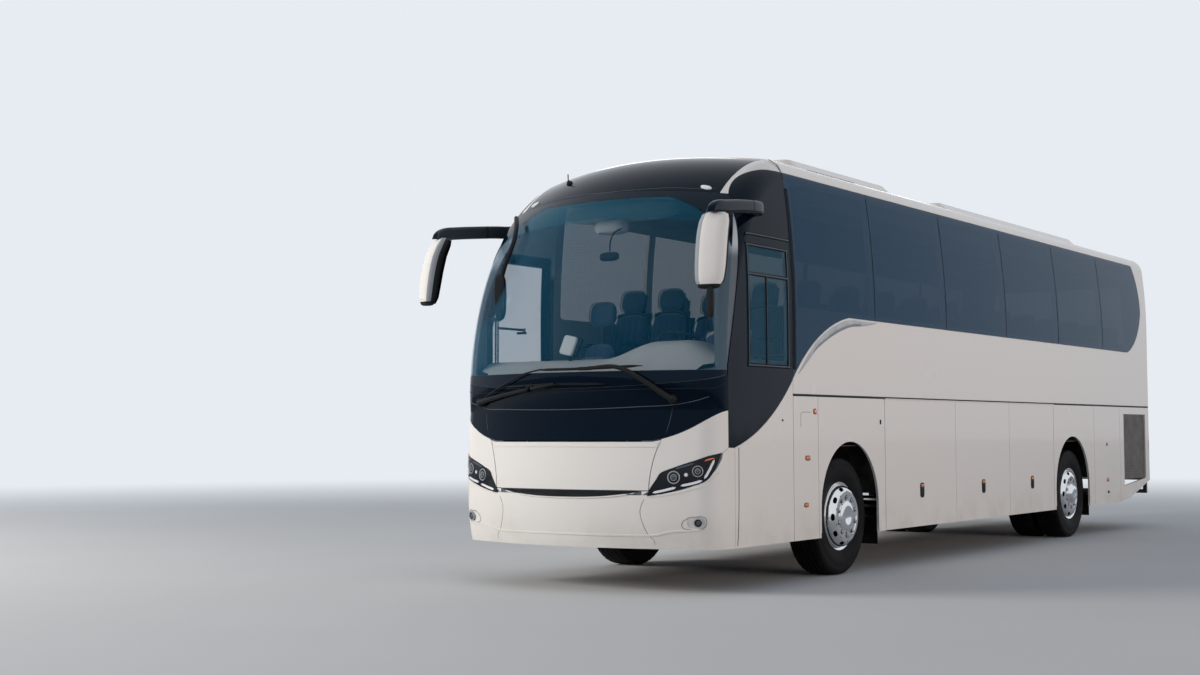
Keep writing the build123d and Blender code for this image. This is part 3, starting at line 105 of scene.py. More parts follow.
SOCKETS = {
    "color": "Base Color", "metal": "Metallic", "rough": "Roughness", "alpha": "Alpha",
    "coat": "Coat Weight", "coat_rough": "Coat Roughness", "specular": "Specular IOR Level",
    "sheen": "Sheen Weight", "sheen_tint": "Specular Tint",
}


class Graph:
    """A node tree whose nodes are added by short calls."""

    def __init__(self, tree):
        self.tree = tree

    def feed(self, socket, value):
        """Link a result to a socket, or set a plain value there."""
        if isinstance(value, bpy.types.NodeSocket):
            self.tree.links.new(value, socket)
        else:
            socket.default_value = value

    def add(self, kind, **inputs):
        """A node with its attributes and its inputs, which go by their names or as i0, i1 and so on."""
        node = self.tree.nodes.new(kind)
        for key, value in inputs.items():
            if key[1:].isdigit():
                self.feed(node.inputs[int(key[1:])], value)
            elif key in node.inputs:
                self.feed(node.inputs[key], value)
            else:
                setattr(node, key, value)
        return node

    def math(self, operation, a, b=0.0):
        """One math node's result."""
        return self.add("ShaderNodeMath", operation=operation, i0=a, i1=b).outputs[0]

    def times(self, a, b):
        """A product."""
        return self.math("MULTIPLY", a, b)

    def most(self, a, b):
        """The larger of two values."""
        return self.math("MAXIMUM", a, b)

    def place(self):
        """Object coordinates, which are the bus's own."""
        return self.add("ShaderNodeTexCoord").outputs["Object"]

    def axes(self, vector=None):
        """The three parts of a vector, or of the place."""
        return self.add("ShaderNodeSeparateXYZ", i0=vector or self.place()).outputs

    def ramp(self, value, start, end, first=0.0, last=1.0):
        """A value mapped smoothly from one range to another."""
        node = self.add("ShaderNodeMapRange", interpolation_type="SMOOTHSTEP",
                        i0=value, i1=start, i2=end, i3=first, i4=last)
        return node.outputs[0]

    def noise(self, scale, detail):
        """Noise over the object, from 0 to 1."""
        return self.add("ShaderNodeTexNoise", i0=self.place(), Scale=scale, Detail=detail).outputs[0]

    def cloud(self, scale, detail, start=0.3, end=0.8, first=0.0, last=1.0):
        """Noise mapped smoothly to a range."""
        return self.ramp(self.noise(scale, detail), start, end, first, last)

    def mix(self, factor, a, b):
        """A colour mixed from two."""
        return self.add("ShaderNodeMix", data_type="RGBA", i0=factor, i6=a, i7=b).outputs[2]


class Net(Graph):
    """The nodes of one material."""

    def __init__(self, name, **sockets):
        self.material = bpy.data.materials.new(name)
        self.material.use_nodes = True
        super().__init__(self.material.node_tree)
        self.shader = self.tree.nodes["Principled BSDF"]
        self.set(**sockets)

    def set(self, **sockets):
        """Values or results for the shader's sockets."""
        for socket, value in sockets.items():
            self.feed(self.shader.inputs[SOCKETS[socket]], value)

    def bump(self, height, strength, distance=0.001):
        """Bump from a height."""
        node = self.add("ShaderNodeBump", Strength=strength, Distance=distance, Height=height)
        self.tree.links.new(node.outputs[0], self.shader.inputs["Normal"])

    def inside(self):
        """1 on faces that look towards the bus's middle line, 0 on outer ones."""
        normal = self.add("ShaderNodeNewGeometry").outputs["Normal"]
        return self.math("LESS_THAN", self.times(self.axes()[0], self.axes(normal)[0]), -0.05)


def colour(red, green, blue):
    """An opaque colour."""
    return (red, green, blue, 1.0)


WHITE = colour(0.79, 0.757, 0.722)
WHITE_WARM = colour(0.793, 0.761, 0.727)
WHITE_DUSTY = colour(0.60, 0.55, 0.48)
BLACK = colour(0.0018, 0.0045, 0.0105)
BLUE_SHEEN = colour(0.45, 0.72, 1.0)
TRIM_GREY = colour(0.30, 0.33, 0.35)
# Heights between which the dust on the skirt fades out
DUST_Z = (0.75, 0.35)


def paint_white():
    """Pearl white coachwork: clear coat, faint flakes, dust near the skirt, grey trim on inner faces."""
    net = Net("paint_white", coat=0.3, coat_rough=0.04, specular=0.32)
    dust = net.times(net.ramp(net.axes()[2], *DUST_Z), net.cloud(3.0, 6.0, 0.35, 0.75))
    tone = net.mix(net.cloud(0.5, 0.0, 0.0, 1.0), WHITE, WHITE_WARM)
    outer = net.mix(net.times(dust, 0.5), tone, WHITE_DUSTY)
    net.set(color=net.mix(net.inside(), outer, TRIM_GREY), rough=net.cloud(1.2, 1.0, 0.0, 1.0, 0.25, 0.28))
    net.bump(net.noise(35.0, 1.0), 0.006, 0.0005)
    return net.material


def gloss_black():
    """Blue-black gloss panels with faint waves."""
    net = Net("gloss_black", specular=0.11, sheen_tint=BLUE_SHEEN)
    net.set(color=net.mix(net.inside(), BLACK, colour(0.045, 0.055, 0.065)),
            rough=net.cloud(4.0, 4.0, first=0.06, last=0.15))
    net.bump(net.noise(18.0, 1.0), 0.02)
    return net.material


def glass(name, tint, clear, rim, specular):
    """Glass that is see-through face on and shiny edge on, and how opaque it is: clear there, rim here."""
    net = Net(name, color=tint, specular=specular, sheen_tint=BLUE_SHEEN)
    facing = net.add("ShaderNodeLayerWeight", i0=0.35).outputs["Facing"]
    opaque = net.ramp(facing, 0.15, 1.0, clear, rim)
    net.set(alpha=net.math("ADD", opaque, net.times(net.noise(1.4, 4.0), 0.04)),
            rough=net.cloud(6.0, 5.0, first=0.015, last=0.05))
    return net, opaque


# The windscreen's printed border at its foot, top and sides, and the tinted band's height and sag
SCREEN_PRINT_Z = 1.760
SCREEN_TOP_DROP = (0.085, 0.065)
SCREEN_SIDE_S = 0.62
SCREEN_BAND_Z = 3.035
SCREEN_BAND_SAG = -0.05


def windscreen_glass():
    """Clear screen with its printed black border and a blue-green band along the top."""
    clear_tone = colour(0.008, 0.13, 0.24)
    net, opaque = glass("windscreen_glass", clear_tone, 0.13, 0.38, 0.2)
    x, y, z = net.axes()
    top = high("windscreen").z
    lower = net.ramp(z, SCREEN_PRINT_Z + 0.006, SCREEN_PRINT_Z)
    upper = net.ramp(z, *(top - drop for drop in SCREEN_TOP_DROP))
    side = net.ramp(y, NOSE_Y + SCREEN_SIDE_S, NOSE_Y + SCREEN_SIDE_S + 0.02)
    lean = net.math("SUBTRACT", z, net.times(net.times(x, x), SCREEN_BAND_SAG))
    tinted = net.ramp(lean, SCREEN_BAND_Z - 0.02, SCREEN_BAND_Z + 0.03)
    printed = net.most(net.most(lower, upper), side)
    net.set(color=net.mix(printed, net.mix(tinted, clear_tone, colour(0.002, 0.085, 0.140)), BLACK),
            alpha=net.most(net.math("ADD", opaque, net.times(tinted, 0.42)), printed))
    return net.material


# The driver's window in the bonded glass: stations and heights between which the print ends or begins
CAB_GLASS_S = (1.542, 1.536)
CAB_PRINT_Z = (2.79, 2.81)
CAB_PRINT_S = (1.46, 1.48)


def tinted_glass():
    """Dark bonded side glass, clearer and bluer at the driver's window, with black print round that."""
    dark = colour(0.002, 0.050, 0.115)
    net, opaque = glass("tinted_glass", dark, 0.60, 0.94, 0.11)
    _, y, z = net.axes()
    ahead = net.ramp(y, *(NOSE_Y + s for s in CAB_GLASS_S))
    edge = net.most(net.ramp(z, *CAB_PRINT_Z), net.ramp(y, *(NOSE_Y + s for s in CAB_PRINT_S)))
    printed = net.times(ahead, edge)
    cab = net.times(ahead, net.math("SUBTRACT", 1.0, edge))
    less = net.math("SUBTRACT", opaque, net.times(cab, 0.28))
    net.set(color=net.mix(printed, net.mix(cab, dark, colour(0.004, 0.085, 0.15)), BLACK),
            alpha=net.most(less, printed))
    return net.material


def rubber(name, tone, dust):
    """Black rubber with scuffs and dust."""
    net = Net(name, specular=0.08)
    worn = net.cloud(9.0, 8.0, 0.45, 0.8)
    net.set(color=net.mix(net.times(worn, dust), tone, colour(0.13, 0.115, 0.10)),
            rough=net.ramp(worn, 0.0, 1.0, 0.55, 0.9))
    net.bump(net.noise(180.0, 4.0), 0.25)
    return net.material


def plastic(net, tone, second, share, rough, grain):
    """A net finished as plastic: two cloudy tones, cloudy gloss and a fine grain."""
    net.set(color=net.mix(net.cloud(2.5, 4.0, 0.35, 0.75, 0.0, share), tone, second),
            rough=net.cloud(7.0, 4.0, first=rough - 0.08, last=rough + 0.1))
    net.bump(net.noise(grain, 2.0), 0.12, 0.0005)
    return net.material


def moulded(name, tone, rough=0.55, grain=260.0):
    """Moulded plastic with a fine grain."""
    return plastic(Net(name, specular=0.25), tone, colour(*(v * 0.7 for v in tone[:3])), 0.35, rough, grain)


# Heights between which the cab's lining turns from posts to ceiling
LINING_Z = (2.66, 2.80)


def cab_lining():
    """The cab's lining: grey posts and a paler ceiling."""
    net = Net("cab_lining", specular=0.25)
    tone = net.mix(net.ramp(net.axes()[2], *LINING_Z), colour(0.13, 0.155, 0.18), colour(0.58, 0.64, 0.68))
    return plastic(net, tone, colour(0.10, 0.12, 0.14), 0.3, 0.55, 260.0)


def metal(name, tone, rough):
    """Bare or polished metal with fine marks."""
    net = Net(name, color=tone, metal=1.0)
    net.set(rough=net.cloud(40.0, 5.0, first=rough * 0.7, last=rough * 1.5))
    net.bump(net.noise(120.0, 3.0), 0.03, 0.0004)
    return net.material


def painted_steel(name, tone):
    """Chassis paint with road dirt."""
    net = Net(name)
    dirt = net.cloud(5.0, 8.0, 0.4, 0.75)
    net.set(color=net.mix(net.times(dirt, 0.6), tone, colour(0.16, 0.13, 0.10)),
            rough=net.ramp(dirt, 0.0, 1.0, 0.4, 0.85))
    net.bump(net.noise(60.0, 5.0), 0.1)
    return net.material


# Turns a metre of the cloth's weave and of its check
WEAVE = 1400.0
CHECK = 90.0


def cloth(name, tone, second):
    """Woven seat cloth with a faint check."""
    net = Net(name, rough=0.9, sheen=0.35)
    x, y, z = net.axes()
    across = net.math("SINE", net.times(x, WEAVE))
    weave = net.times(across, net.math("SINE", net.times(net.math("ADD", y, z), WEAVE)))
    check = net.ramp(net.math("SINE", net.times(x, CHECK)), 0.4, 0.9)
    net.set(color=net.mix(net.times(check, 0.6), tone, second))
    net.bump(net.math("ADD", weave, net.noise(300.0, 2.0)), 0.06, 0.0004)
    return net.material


def vinyl_floor():
    """Speckled floor covering."""
    net = Net("vinyl_floor", rough=0.6)
    specks = net.cloud(420.0, 1.0, 0.58, 0.66)
    net.set(color=net.mix(specks, colour(0.10, 0.11, 0.12), colour(0.24, 0.25, 0.26)))
    net.bump(net.noise(200.0, 2.0), 0.1)
    return net.material


# Turns a metre of the ribs in a lens
RIBS = 700.0


def lens(name, tone):
    """A lamp's lens with fine ribs."""
    net = Net(name, color=tone, coat=1.0)
    net.set(rough=net.cloud(12.0, 3.0, first=0.05, last=0.12))
    net.bump(net.math("SINE", net.times(net.axes()[1], RIBS)), 0.15, 0.0006)
    return net.material


def silver_trim():
    """Satin silver trim with a cloudy tone."""
    net = Net("silver_trim", metal=0.6, coat=0.3)
    net.set(color=net.mix(net.cloud(6.0, 3.0, 0.3, 0.7), colour(0.36, 0.37, 0.38), colour(0.44, 0.45, 0.46)),
            rough=net.cloud(40.0, 4.0, first=0.30, last=0.42))
    return net.material


M = {
    "white": paint_white(),
    "black": gloss_black(),
    "screen": windscreen_glass(),
    "tint": tinted_glass(),
    "door_glass": glass("door_glass", colour(0.04, 0.19, 0.32), 0.26, 0.62, 0.2)[0].material,
    "tyre": rubber("tyre_rubber", colour(0.0045, 0.0045, 0.005), 0.12),
    "rubber": rubber("black_rubber", colour(0.006, 0.006, 0.0065), 0.15),
    "plastic": moulded("black_moulding", colour(0.007, 0.008, 0.009)),
    "cab_trim": cab_lining(),
    "grille": moulded("grille_slats", colour(0.115, 0.105, 0.098), 0.45),
    "lamp_face": moulded("lamp_face", colour(0.006, 0.008, 0.012), 0.16, 90.0),
    "dash": moulded("dashboard_skin", colour(0.40, 0.42, 0.42), 0.5),
    "rack": moulded("rack_trim", colour(0.34, 0.36, 0.37), 0.5),
    "chrome": metal("polished_rim", colour(0.78, 0.78, 0.78), 0.12),
    "steel": metal("bare_steel", colour(0.42, 0.42, 0.43), 0.35),
    "mirror": metal("mirror_glass", colour(0.85, 0.87, 0.9), 0.03),
    "chassis": painted_steel("chassis_paint", colour(0.018, 0.018, 0.020)),
    "engine": painted_steel("engine_paint", colour(0.12, 0.12, 0.13)),
    "seat": cloth("seat_cloth", colour(0.030, 0.055, 0.115), colour(0.06, 0.09, 0.17)),
    "seat_head": cloth("headrest_cloth", colour(0.045, 0.085, 0.140), colour(0.06, 0.10, 0.16)),
    "pale": moulded("pale_plastic", colour(0.62, 0.66, 0.68), 0.45),
    "floor": vinyl_floor(),
    "gap": moulded("panel_gap", colour(0.010, 0.010, 0.011), 0.7),
    # Painted highlight: a paler blue-grey standing in for light caught along the edges and seams of black
    # parts, and for a reflection inside the headlamps.
    "edge": moulded("painted_edge_highlight", colour(0.075, 0.095, 0.115), 0.35),
    # Painted shade: near-black sheets inside the wheels, seen through the hand holes, round the nuts and on
    # the inner twin rim.
    "hole": moulded("wheel_shadow", colour(0.012, 0.012, 0.012), 0.8),
    "projector": lens("projector_glass", colour(0.03, 0.04, 0.05)),
    "silver": silver_trim(),
    "amber": lens("amber_lens", colour(0.85, 0.19, 0.01)),
    "red": lens("red_lens", colour(0.45, 0.008, 0.008)),
    "lamp_white": lens("white_lens", colour(0.85, 0.88, 0.92)),
}

# Which material dresses each carried-over CAD node
DRESS = {
    "white": ["front_flap", "bumper_front", "body_sides", "roof_shell", "cant_rails", "roof_pods",
              "rear_body", "engine_lid", "bumper_rear", "flank_panels", "mirror_heads"]
             + [f"luggage_door_{side}_{number}" for _, side in SIDES for number in (1, 2, 3)],
    "black": ["front_cap", "front_mask", "quarter_panels", "entry_door"],
    "screen": ["windscreen"],
    "tint": ["side_glazing", "rear_window"],
    "door_glass": ["entry_door_glass"],
    "plastic": ["mirror_arms", "steering_wheel", "rub_rails", "wipers"],
    "grille": ["side_grilles"],
    "cab_trim": ["cab_frame"],
    "dash": ["dashboard"],
    "rack": ["luggage_racks"],
    "chassis": ["chassis_frame", "front_axle", "rear_axle", "knuckle_left", "knuckle_right",
                "wheel_housings"],
    "steel": ["entry_door_arm"],
    "engine": ["engine_block"],
    "rubber": ["mudflaps"],
    "tyre": ["tyre_front_left", "tyre_front_right", "tyres_rear_left", "tyres_rear_right"],
    "chrome": ["rim_front_left", "rim_front_right", "rims_rear_left", "rims_rear_right"],
    "seat": ["passenger_seats", "cab_seats"],
    "floor": ["floor_deck"],
    "projector": ["headlamps"],
    "red": ["tail_lamps"],
}


def dress_nodes():
    """Give every CAD node its material."""
    for key, names in DRESS.items():
        for name in names:
            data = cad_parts[name].data
            data.materials.clear()
            data.materials.append(M[key])


# Mesh building

# Steps round a wheel
WHEEL_STEPS = 80


def circle(radius, steps):
    """Points (a, b) round a circle."""
    return [(radius * cos(tau * k / steps), radius * sin(tau * k / steps)) for k in range(steps)]


def ringed(angle, half_w, half_h, power):
    """A point of a rounded rectangle about the origin."""
    c, s = cos(angle), sin(angle)
    size = (abs(c) ** power + abs(s) ** power) ** (-1 / power)
    return half_w * c * size, half_h * s * size


class Shape:
    """Vertices and faces of one piece, gathered from simple forms."""

    def __init__(self):
        self.verts = []
        self.faces = []
        self.slots = []

    def add(self, verts, faces, slot=0):
        """Add vertices and the faces between them."""
        first = len(self.verts)
        self.verts += [Vector(v) for v in verts]
        self.faces += [[first + i for i in face] for face in faces]
        self.slots += [slot] * len(faces)

    def grid(self, rows, slot=0, wrap=False, close=False):
        """Faces between rows of points. wrap joins each row's ends, close the first and last rows."""
        count = len(rows[0])
        verts = [point for row in rows for point in row]
        faces = []
        for r in range(len(rows) if close else len(rows) - 1):
            nxt = (r + 1) % len(rows)
            for c in range(count if wrap else count - 1):
                d = (c + 1) % count
                faces.append([r * count + c, r * count + d, nxt * count + d, nxt * count + c])
        self.add(verts, faces, slot)

    def skin(self, rows, slot=0):
        """Closed loops joined one to the next, with capped ends."""
        self.grid(rows, slot, wrap=True)
        loop = list(range(len(rows[0])))
        self.add(rows[0], [loop[::-1]], slot)
        self.add(rows[-1], [loop], slot)

    def box(self, lowest, highest, slot=0, matrix=None):
        """A box between two corners."""
        (a, b, c), (d, e, f) = lowest, highest
        verts = [Vector((x, y, z)) for z in (c, f) for x, y in ((a, b), (d, b), (d, e), (a, e))]
        if matrix:
            verts = [matrix @ v for v in verts]
        faces = [(3, 2, 1, 0), (4, 5, 6, 7), (0, 1, 5, 4), (1, 2, 6, 5), (2, 3, 7, 6), (3, 0, 4, 7)]
        self.add(verts, faces, slot)

    def boxes(self, table, origin=(0, 0, 0)):
        """Boxes from rows of x, station and height ranges about an origin, and their slot."""
        x, s, z = origin
        for x0, x1, s0, s1, z0, z1, slot in table:
            self.box(at(x + x0, s + s0, z + z0), at(x + x1, s + s1, z + z1), slot)

    def turned(self, profile, centre, side=1, steps=WHEEL_STEPS, slot=0, close=False):
        """A form turned about X: profile rows are (distance outwards, radius)."""
        rows = [[centre + Vector((side * out, a, b)) for a, b in circle(radius, steps)]
                for out, radius in profile]
        self.grid(rows if side > 0 else rows[::-1], slot, wrap=True, close=close)

    def spun(self, profile, centre, axis, steps=24, slot=0):
        """A form turned about any axis: profile rows are (height along the axis, radius)."""
        turn = Vector(axis).to_track_quat("Z", "Y").to_matrix()
        rows = [[centre + turn @ Vector((a, b, height)) for a, b in circle(radius, steps)]
                for height, radius in profile]
        self.grid(rows, slot, wrap=True)

    def tube(self, points, radius, sides=8, slot=0):
        """A round bar along points, with capped ends. radius may be one number or one per point."""
        radii = radius if isinstance(radius, (list, tuple)) else [radius] * len(points)
        rows = []
        for index, point in enumerate(points):
            ahead = points[min(index + 1, len(points) - 1)] - points[max(index - 1, 0)]
            turn = ahead.to_track_quat("Z", "Y").to_matrix()
            rows.append([point + turn @ Vector((a, b, 0)) for a, b in circle(radii[index], sides)])
        self.skin(rows, slot)

    def pad(self, centre, size, crown=0.25, steps=8, power=4.0, slot=0, matrix=None):
        """A padded block: a box with full round edges and crowned faces."""
        half = Vector(size) / 2
        rows = []
        for i in range(1, steps * 2):
            v = pi * i / (steps * 2) - pi / 2
            row = []
            for k in range(steps * 4):
                u = tau * k / (steps * 4)
                d = Vector((cos(v) * cos(u), cos(v) * sin(u), sin(v)))
                norm = sum(abs(c) ** power for c in d) ** (1 / power)
                p = d / norm * (1 - crown) + d * crown
                row.append(Vector((p.x * half.x, p.y * half.y, p.z * half.z)))
            rows.append(row)
        if matrix:
            rows = [[matrix @ p for p in row] for row in rows]
        self.skin([[p + centre for p in row] for row in rows], slot)

    def make(self, name, body, materials, sharp=35, bevel=0.0):
        """The finished piece, riding on a body."""
        mesh = bpy.data.meshes.new(name)
        mesh.from_pydata(self.verts, [], self.faces)
        for key in materials:
            mesh.materials.append(M[key])
        for polygon, slot in zip(mesh.polygons, self.slots):
            polygon.material_index = slot
            polygon.use_smooth = True
        mesh.set_sharp_from_angle(angle=radians(sharp))
        piece = bpy.data.objects.new(name, mesh)
        bpy.context.scene.collection.objects.link(piece)
        if bevel:
            cut = piece.modifiers.new("bevel", "BEVEL")
            cut.width = bevel
            cut.segments = 2
        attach(piece, body)
        return piece


# Wheels

TYRE_HALF = 0.1475
BEAD_HALF = 0.114
BEAD_R = 0.2865
TWIN_HALF = (high("tyres_rear_left").x - low("tyres_rear_left").x) / 2 - TYRE_HALF
TREAD_STEPS = 144
TREAD_HALF = 0.118
TREAD_R = 0.5215
GROOVES = (-0.066, -0.022, 0.022, 0.066)
GROOVE_HALF = 0.005
GROOVE_DEPTH = 0.012
# A groove's section: distance from its middle, depth
GROOVE_SECTION = [(-GROOVE_HALF, 0), (0.001 - GROOVE_HALF, GROOVE_DEPTH), (GROOVE_HALF - 0.001, GROOVE_DEPTH),
                  (GROOVE_HALF, 0)]
NOTCH_DEPTH = 0.007
# A tyre's side from the bead to the shoulder: distance from the tyre's middle, radius
TYRE_SIDE = [(BEAD_HALF, BEAD_R), (0.122, 0.292), (0.127, 0.304), (0.1265, 0.309), (0.133, 0.322),
             (0.141, 0.352), (0.1465, 0.392), (TYRE_HALF, 0.412), (0.1465, 0.440), (0.1425, 0.468),
             (0.1435, 0.472), (0.138, 0.494), (0.131, 0.509)]
SHOULDER = [(TREAD_HALF + 0.006, 0.5165), (TREAD_HALF - 0.004, 0.5195)]


def wheel_at(axle, side, shift=0.0):
    """The middle of a wheel, shifted outwards from its axle's place."""
    return Vector((side * (axle.x + shift), axle.y, axle.z))


def tyre_outline():
    """(distance from the tyre's middle, radius, is shoulder) from bead to bead."""
    rows = [(-x, r, False) for x, r in TYRE_SIDE] + [(-x, r, True) for x, r in SHOULDER]
    for groove in GROOVES:
        rows += [(groove + x, TREAD_R - deep, False) for x, deep in GROOVE_SECTION]
    return rows + [(x, r, True) for x, r in SHOULDER[::-1]] + [(x, r, False) for x, r in TYRE_SIDE[::-1]]


def add_tyre(shape, centre):
    """One tyre with ribs, grooves and notched shoulders."""
    rows = []
    for x, radius, shoulder in tyre_outline():
        row = []
        for k in range(TREAD_STEPS):
            r = radius - (NOTCH_DEPTH if shoulder and k % 3 == 0 else 0.0)
            a = tau * k / TREAD_STEPS
            row.append(centre + Vector((x, r * cos(a), r * sin(a))))
        rows.append(row)
    shape.grid(rows, wrap=True, close=True)


def tyres():
    """The six tyres, in place of the plain ones."""
    for side, name in SIDES:
        front = Shape()
        add_tyre(front, wheel_at(FRONT_AXLE, side))
        tyre = front.make(f"tread_front_{name}", f"wheel_front_{name}", ["tyre"], 40)
        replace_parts(tyre, f"tyre_front_{name}")
        rear = Shape()
        for shift in (-TWIN_HALF, TWIN_HALF):
            add_tyre(rear, wheel_at(REAR_AXLE, side, shift))
        twins = rear.make(f"tread_rear_{name}", f"wheels_rear_{name}", ["tyre"], 40)
        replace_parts(twins, f"tyres_rear_{name}")


def arc_lengths(points):
    """Distance along a line at each of its points."""
    total = [0.0]
    for a, b in zip(points, points[1:]):
        total.append(total[-1] + (Vector(b) - Vector(a)).length)
    return total


def along(points, lengths, distance):
    """The point at a distance along a line."""
    for index in range(1, len(points)):
        if distance <= lengths[index] or index == len(points) - 1:
            share = (distance - lengths[index - 1]) / (lengths[index] - lengths[index - 1])
            return Vector(points[index - 1]).lerp(Vector(points[index]), share)


# Hand holes of the rims: number, radius of their circle, size, depth and the rings of faces round them
HAND_HOLES = 10
HOLE_R = 0.250
HOLE_HALF_W = 0.031
HOLE_HALF_H = 0.019
HOLE_DEEP = 0.010
HOLE_STEPS = 24
HOLE_RINGS = (0.0, 0.12, 0.4, 0.7, 1.0)
NUTS = 10
NUT_CIRCLE_R = 0.1675
# A nut's washer, in painted shade, its body and the bolt's end, each with its sides and material slot
NUT_PARTS = [([(0.0, 0.0215), (0.0012, 0.021), (0.0012, 0.012)], 14, 1),
             ([(0.001, 0.0158), (0.0125, 0.0158), (0.0155, 0.0128), (0.0155, 0.0075)], 6, 2),
             ([(0.0155, 0.0075), (0.0180, 0.0070), (0.0182, 0.0005)], 8, 2)]
# From the flange to the nut face: distance out from the tyre's middle, radius
FRONT_DISH = [(0.100, 0.2790), (0.122, 0.2785), (0.148, 0.2740), (0.170, 0.2650), (0.187, 0.2500),
              (0.198, 0.2350), (0.204, 0.2200)]
REAR_DISH = [(0.100, 0.2790), (0.114, 0.2775), (0.130, 0.2700), (0.143, 0.2580), (0.150, 0.2450),
             (0.156, 0.2250), (0.159, 0.2040)]
# Hub cap: how far out, its foot's radius, its top's radius
FRONT_HUB = (0.2145, 0.134, 0.110)
REAR_HUB = (0.195, 0.115, 0.082)
# The outer rims' barrel, and the inner twin rim with its disc in painted shade
BARREL = [(-0.125, 0.303), (-0.121, 0.306), (-0.118, 0.300), (-0.114, 0.2855), (0.1142, 0.2855),
          (0.1195, 0.301), (0.1215, 0.3065), (0.1255, 0.3070), (0.1268, 0.3035), (0.1235, 0.289),
          (0.1195, 0.2805), (0.112, 0.2765), (0.100, 0.2765)]
INNER_RIM = [(-0.125, 0.303), (-0.119, 0.304), (-0.114, 0.2855), (0.114, 0.2855), (0.120, 0.303),
             (0.1262, 0.302), (0.119, 0.274), (-0.118, 0.274)]
INNER_DISC = [(0.118, 0.274), (0.10, 0.26), (0.10, 0.125), (0.085, 0.125), (0.085, 0.27)]


def wheel_face(shape, centre, side, dish, hub):
    """A rim from its barrel to its hub cap, with hand holes and nuts. dish is (out, radius) rows."""
    lengths = arc_lengths(dish)
    long = lengths[-1]
    hole_at = next(d for d in (long * k / 200 for k in range(201)) if along(dish, lengths, d)[1] < HOLE_R)

    def place(angle, distance, sunk=0.0):
        out, radius = along(dish, lengths, min(max(distance, 0.0), long))
        return centre + Vector((side * (out - sunk), radius * cos(angle), radius * sin(angle)))

    angles = [tau * (k + 0.5) / HOLE_STEPS for k in range(HOLE_STEPS)]
    hole = [ringed(a, HOLE_HALF_W / HOLE_R, HOLE_HALF_H, 3.0) for a in angles]
    sector = [ringed(a, pi / HAND_HOLES, 1.0, 40.0) for a in angles]
    sector = [(x, y * (long - hole_at if y > 0 else hole_at)) for x, y in sector]
    for number in range(HAND_HOLES):
        turn = tau * number / HAND_HOLES
        rows = [[place(turn + x * grow, hole_at + y * grow, sunk) for x, y in hole]
                for sunk, grow in ((HOLE_DEEP, 1.03), (0.002, 1.0))]
        rows += [[place(turn + hx + (ox - hx) * share, hole_at + hy + (oy - hy) * share)
                  for (hx, hy), (ox, oy) in zip(hole, sector)] for share in HOLE_RINGS]
        shape.grid(rows if side < 0 else rows[::-1], wrap=True)
    out, radius = dish[-1]
    cap_out, cap_r, top_r = hub
    face = [(out, radius), (out, 0.193), (out - 0.006, 0.189), (out - 0.007, 0.147), (out, 0.143),
            (out, cap_r), (out + 0.003, cap_r - 0.003), (cap_out - 0.002, top_r + 0.006), (cap_out, top_r),
            (cap_out, top_r * 0.5), (cap_out - 0.002, top_r * 0.46), (cap_out - 0.002, 0.001)]
    # A dark sheet inside the wheel, painted shade seen through the hand holes
    shadow = [(-0.118, 0.300), (-0.105, 0.272), (0.085, 0.268), (dish[0][0] + 0.012, 0.262),
              (out - 0.055, 0.225), (out - 0.060, 0.09)]
    shape.turned(face, centre, side)
    shape.turned(BARREL, centre, side)
    # Slot 1 is painted shade: the thin band from the barrel to the dish, and the sheet inside the wheel
    shape.turned([BARREL[-1], dish[0]], centre, side, slot=1)
    shape.turned(shadow, centre, side, slot=1)
    for number in range(NUTS):
        a = tau * (number + 0.5) / NUTS
        spot = centre + Vector((side * (out - 0.007), NUT_CIRCLE_R * cos(a), NUT_CIRCLE_R * sin(a)))
        for profile, steps, slot in NUT_PARTS:
            shape.turned(profile, spot, side, steps, slot)


def rims():
    """The polished rims, in place of the plain ones."""
    # hole is the wheel_shadow material, painted shade inside the wheels
    keys = ["chrome", "hole", "steel"]
    for side, name in SIDES:
        front = Shape()
        wheel_face(front, wheel_at(FRONT_AXLE, side), side, FRONT_DISH, FRONT_HUB)
        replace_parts(front.make(f"dish_front_{name}", f"wheel_front_{name}", keys, 30), f"rim_front_{name}")
        rear = Shape()
        wheel_face(rear, wheel_at(REAR_AXLE, side, TWIN_HALF), side, REAR_DISH, REAR_HUB)
        inner = wheel_at(REAR_AXLE, side, -TWIN_HALF)
        rear.turned(INNER_RIM, inner, side, close=True)
        rear.turned(INNER_DISC, inner, side, slot=1)
        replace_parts(rear.make(f"dish_rear_{name}", f"wheels_rear_{name}", keys, 30), f"rims_rear_{name}")


# Lines and trim that lie on the CAD surfaces

# How far outside a surface the search for it starts
CLING_FROM = 0.03


def smooth_line(points, step):
    """Points of a smooth curve through the given ones."""
    points = [Vector(p) for p in points]
    if len(points) == 2:
        count = max(1, round((points[1] - points[0]).length / step))
        return [points[0].lerp(points[1], k / count) for k in range(count + 1)]
    ends = [points[0] * 2 - points[1]] + points + [points[-1] * 2 - points[-2]]
    line = []
    for p0, p1, p2, p3 in zip(ends, ends[1:], ends[2:], ends[3:]):
        count = max(1, round((p2 - p1).length / step))
        for k in range(count):
            t = k / count
            line.append(0.5 * (2 * p1 + (p2 - p0) * t + (2 * p0 - 5 * p1 + 4 * p2 - p3) * t * t
                               + (3 * p1 - p0 - 3 * p2 + p3) * t * t * t))
    return line + [points[-1]]


def surface(*nodes):
    """A search tree over the faces of CAD nodes."""
    verts = []
    faces = []
    for node in nodes:
        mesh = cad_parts[node].data
        first = len(verts)
        verts += [v.co.copy() for v in mesh.vertices]
        faces += [[first + i for i in face.vertices] for face in mesh.polygons]
    return BVHTree.FromPolygons(verts, faces)


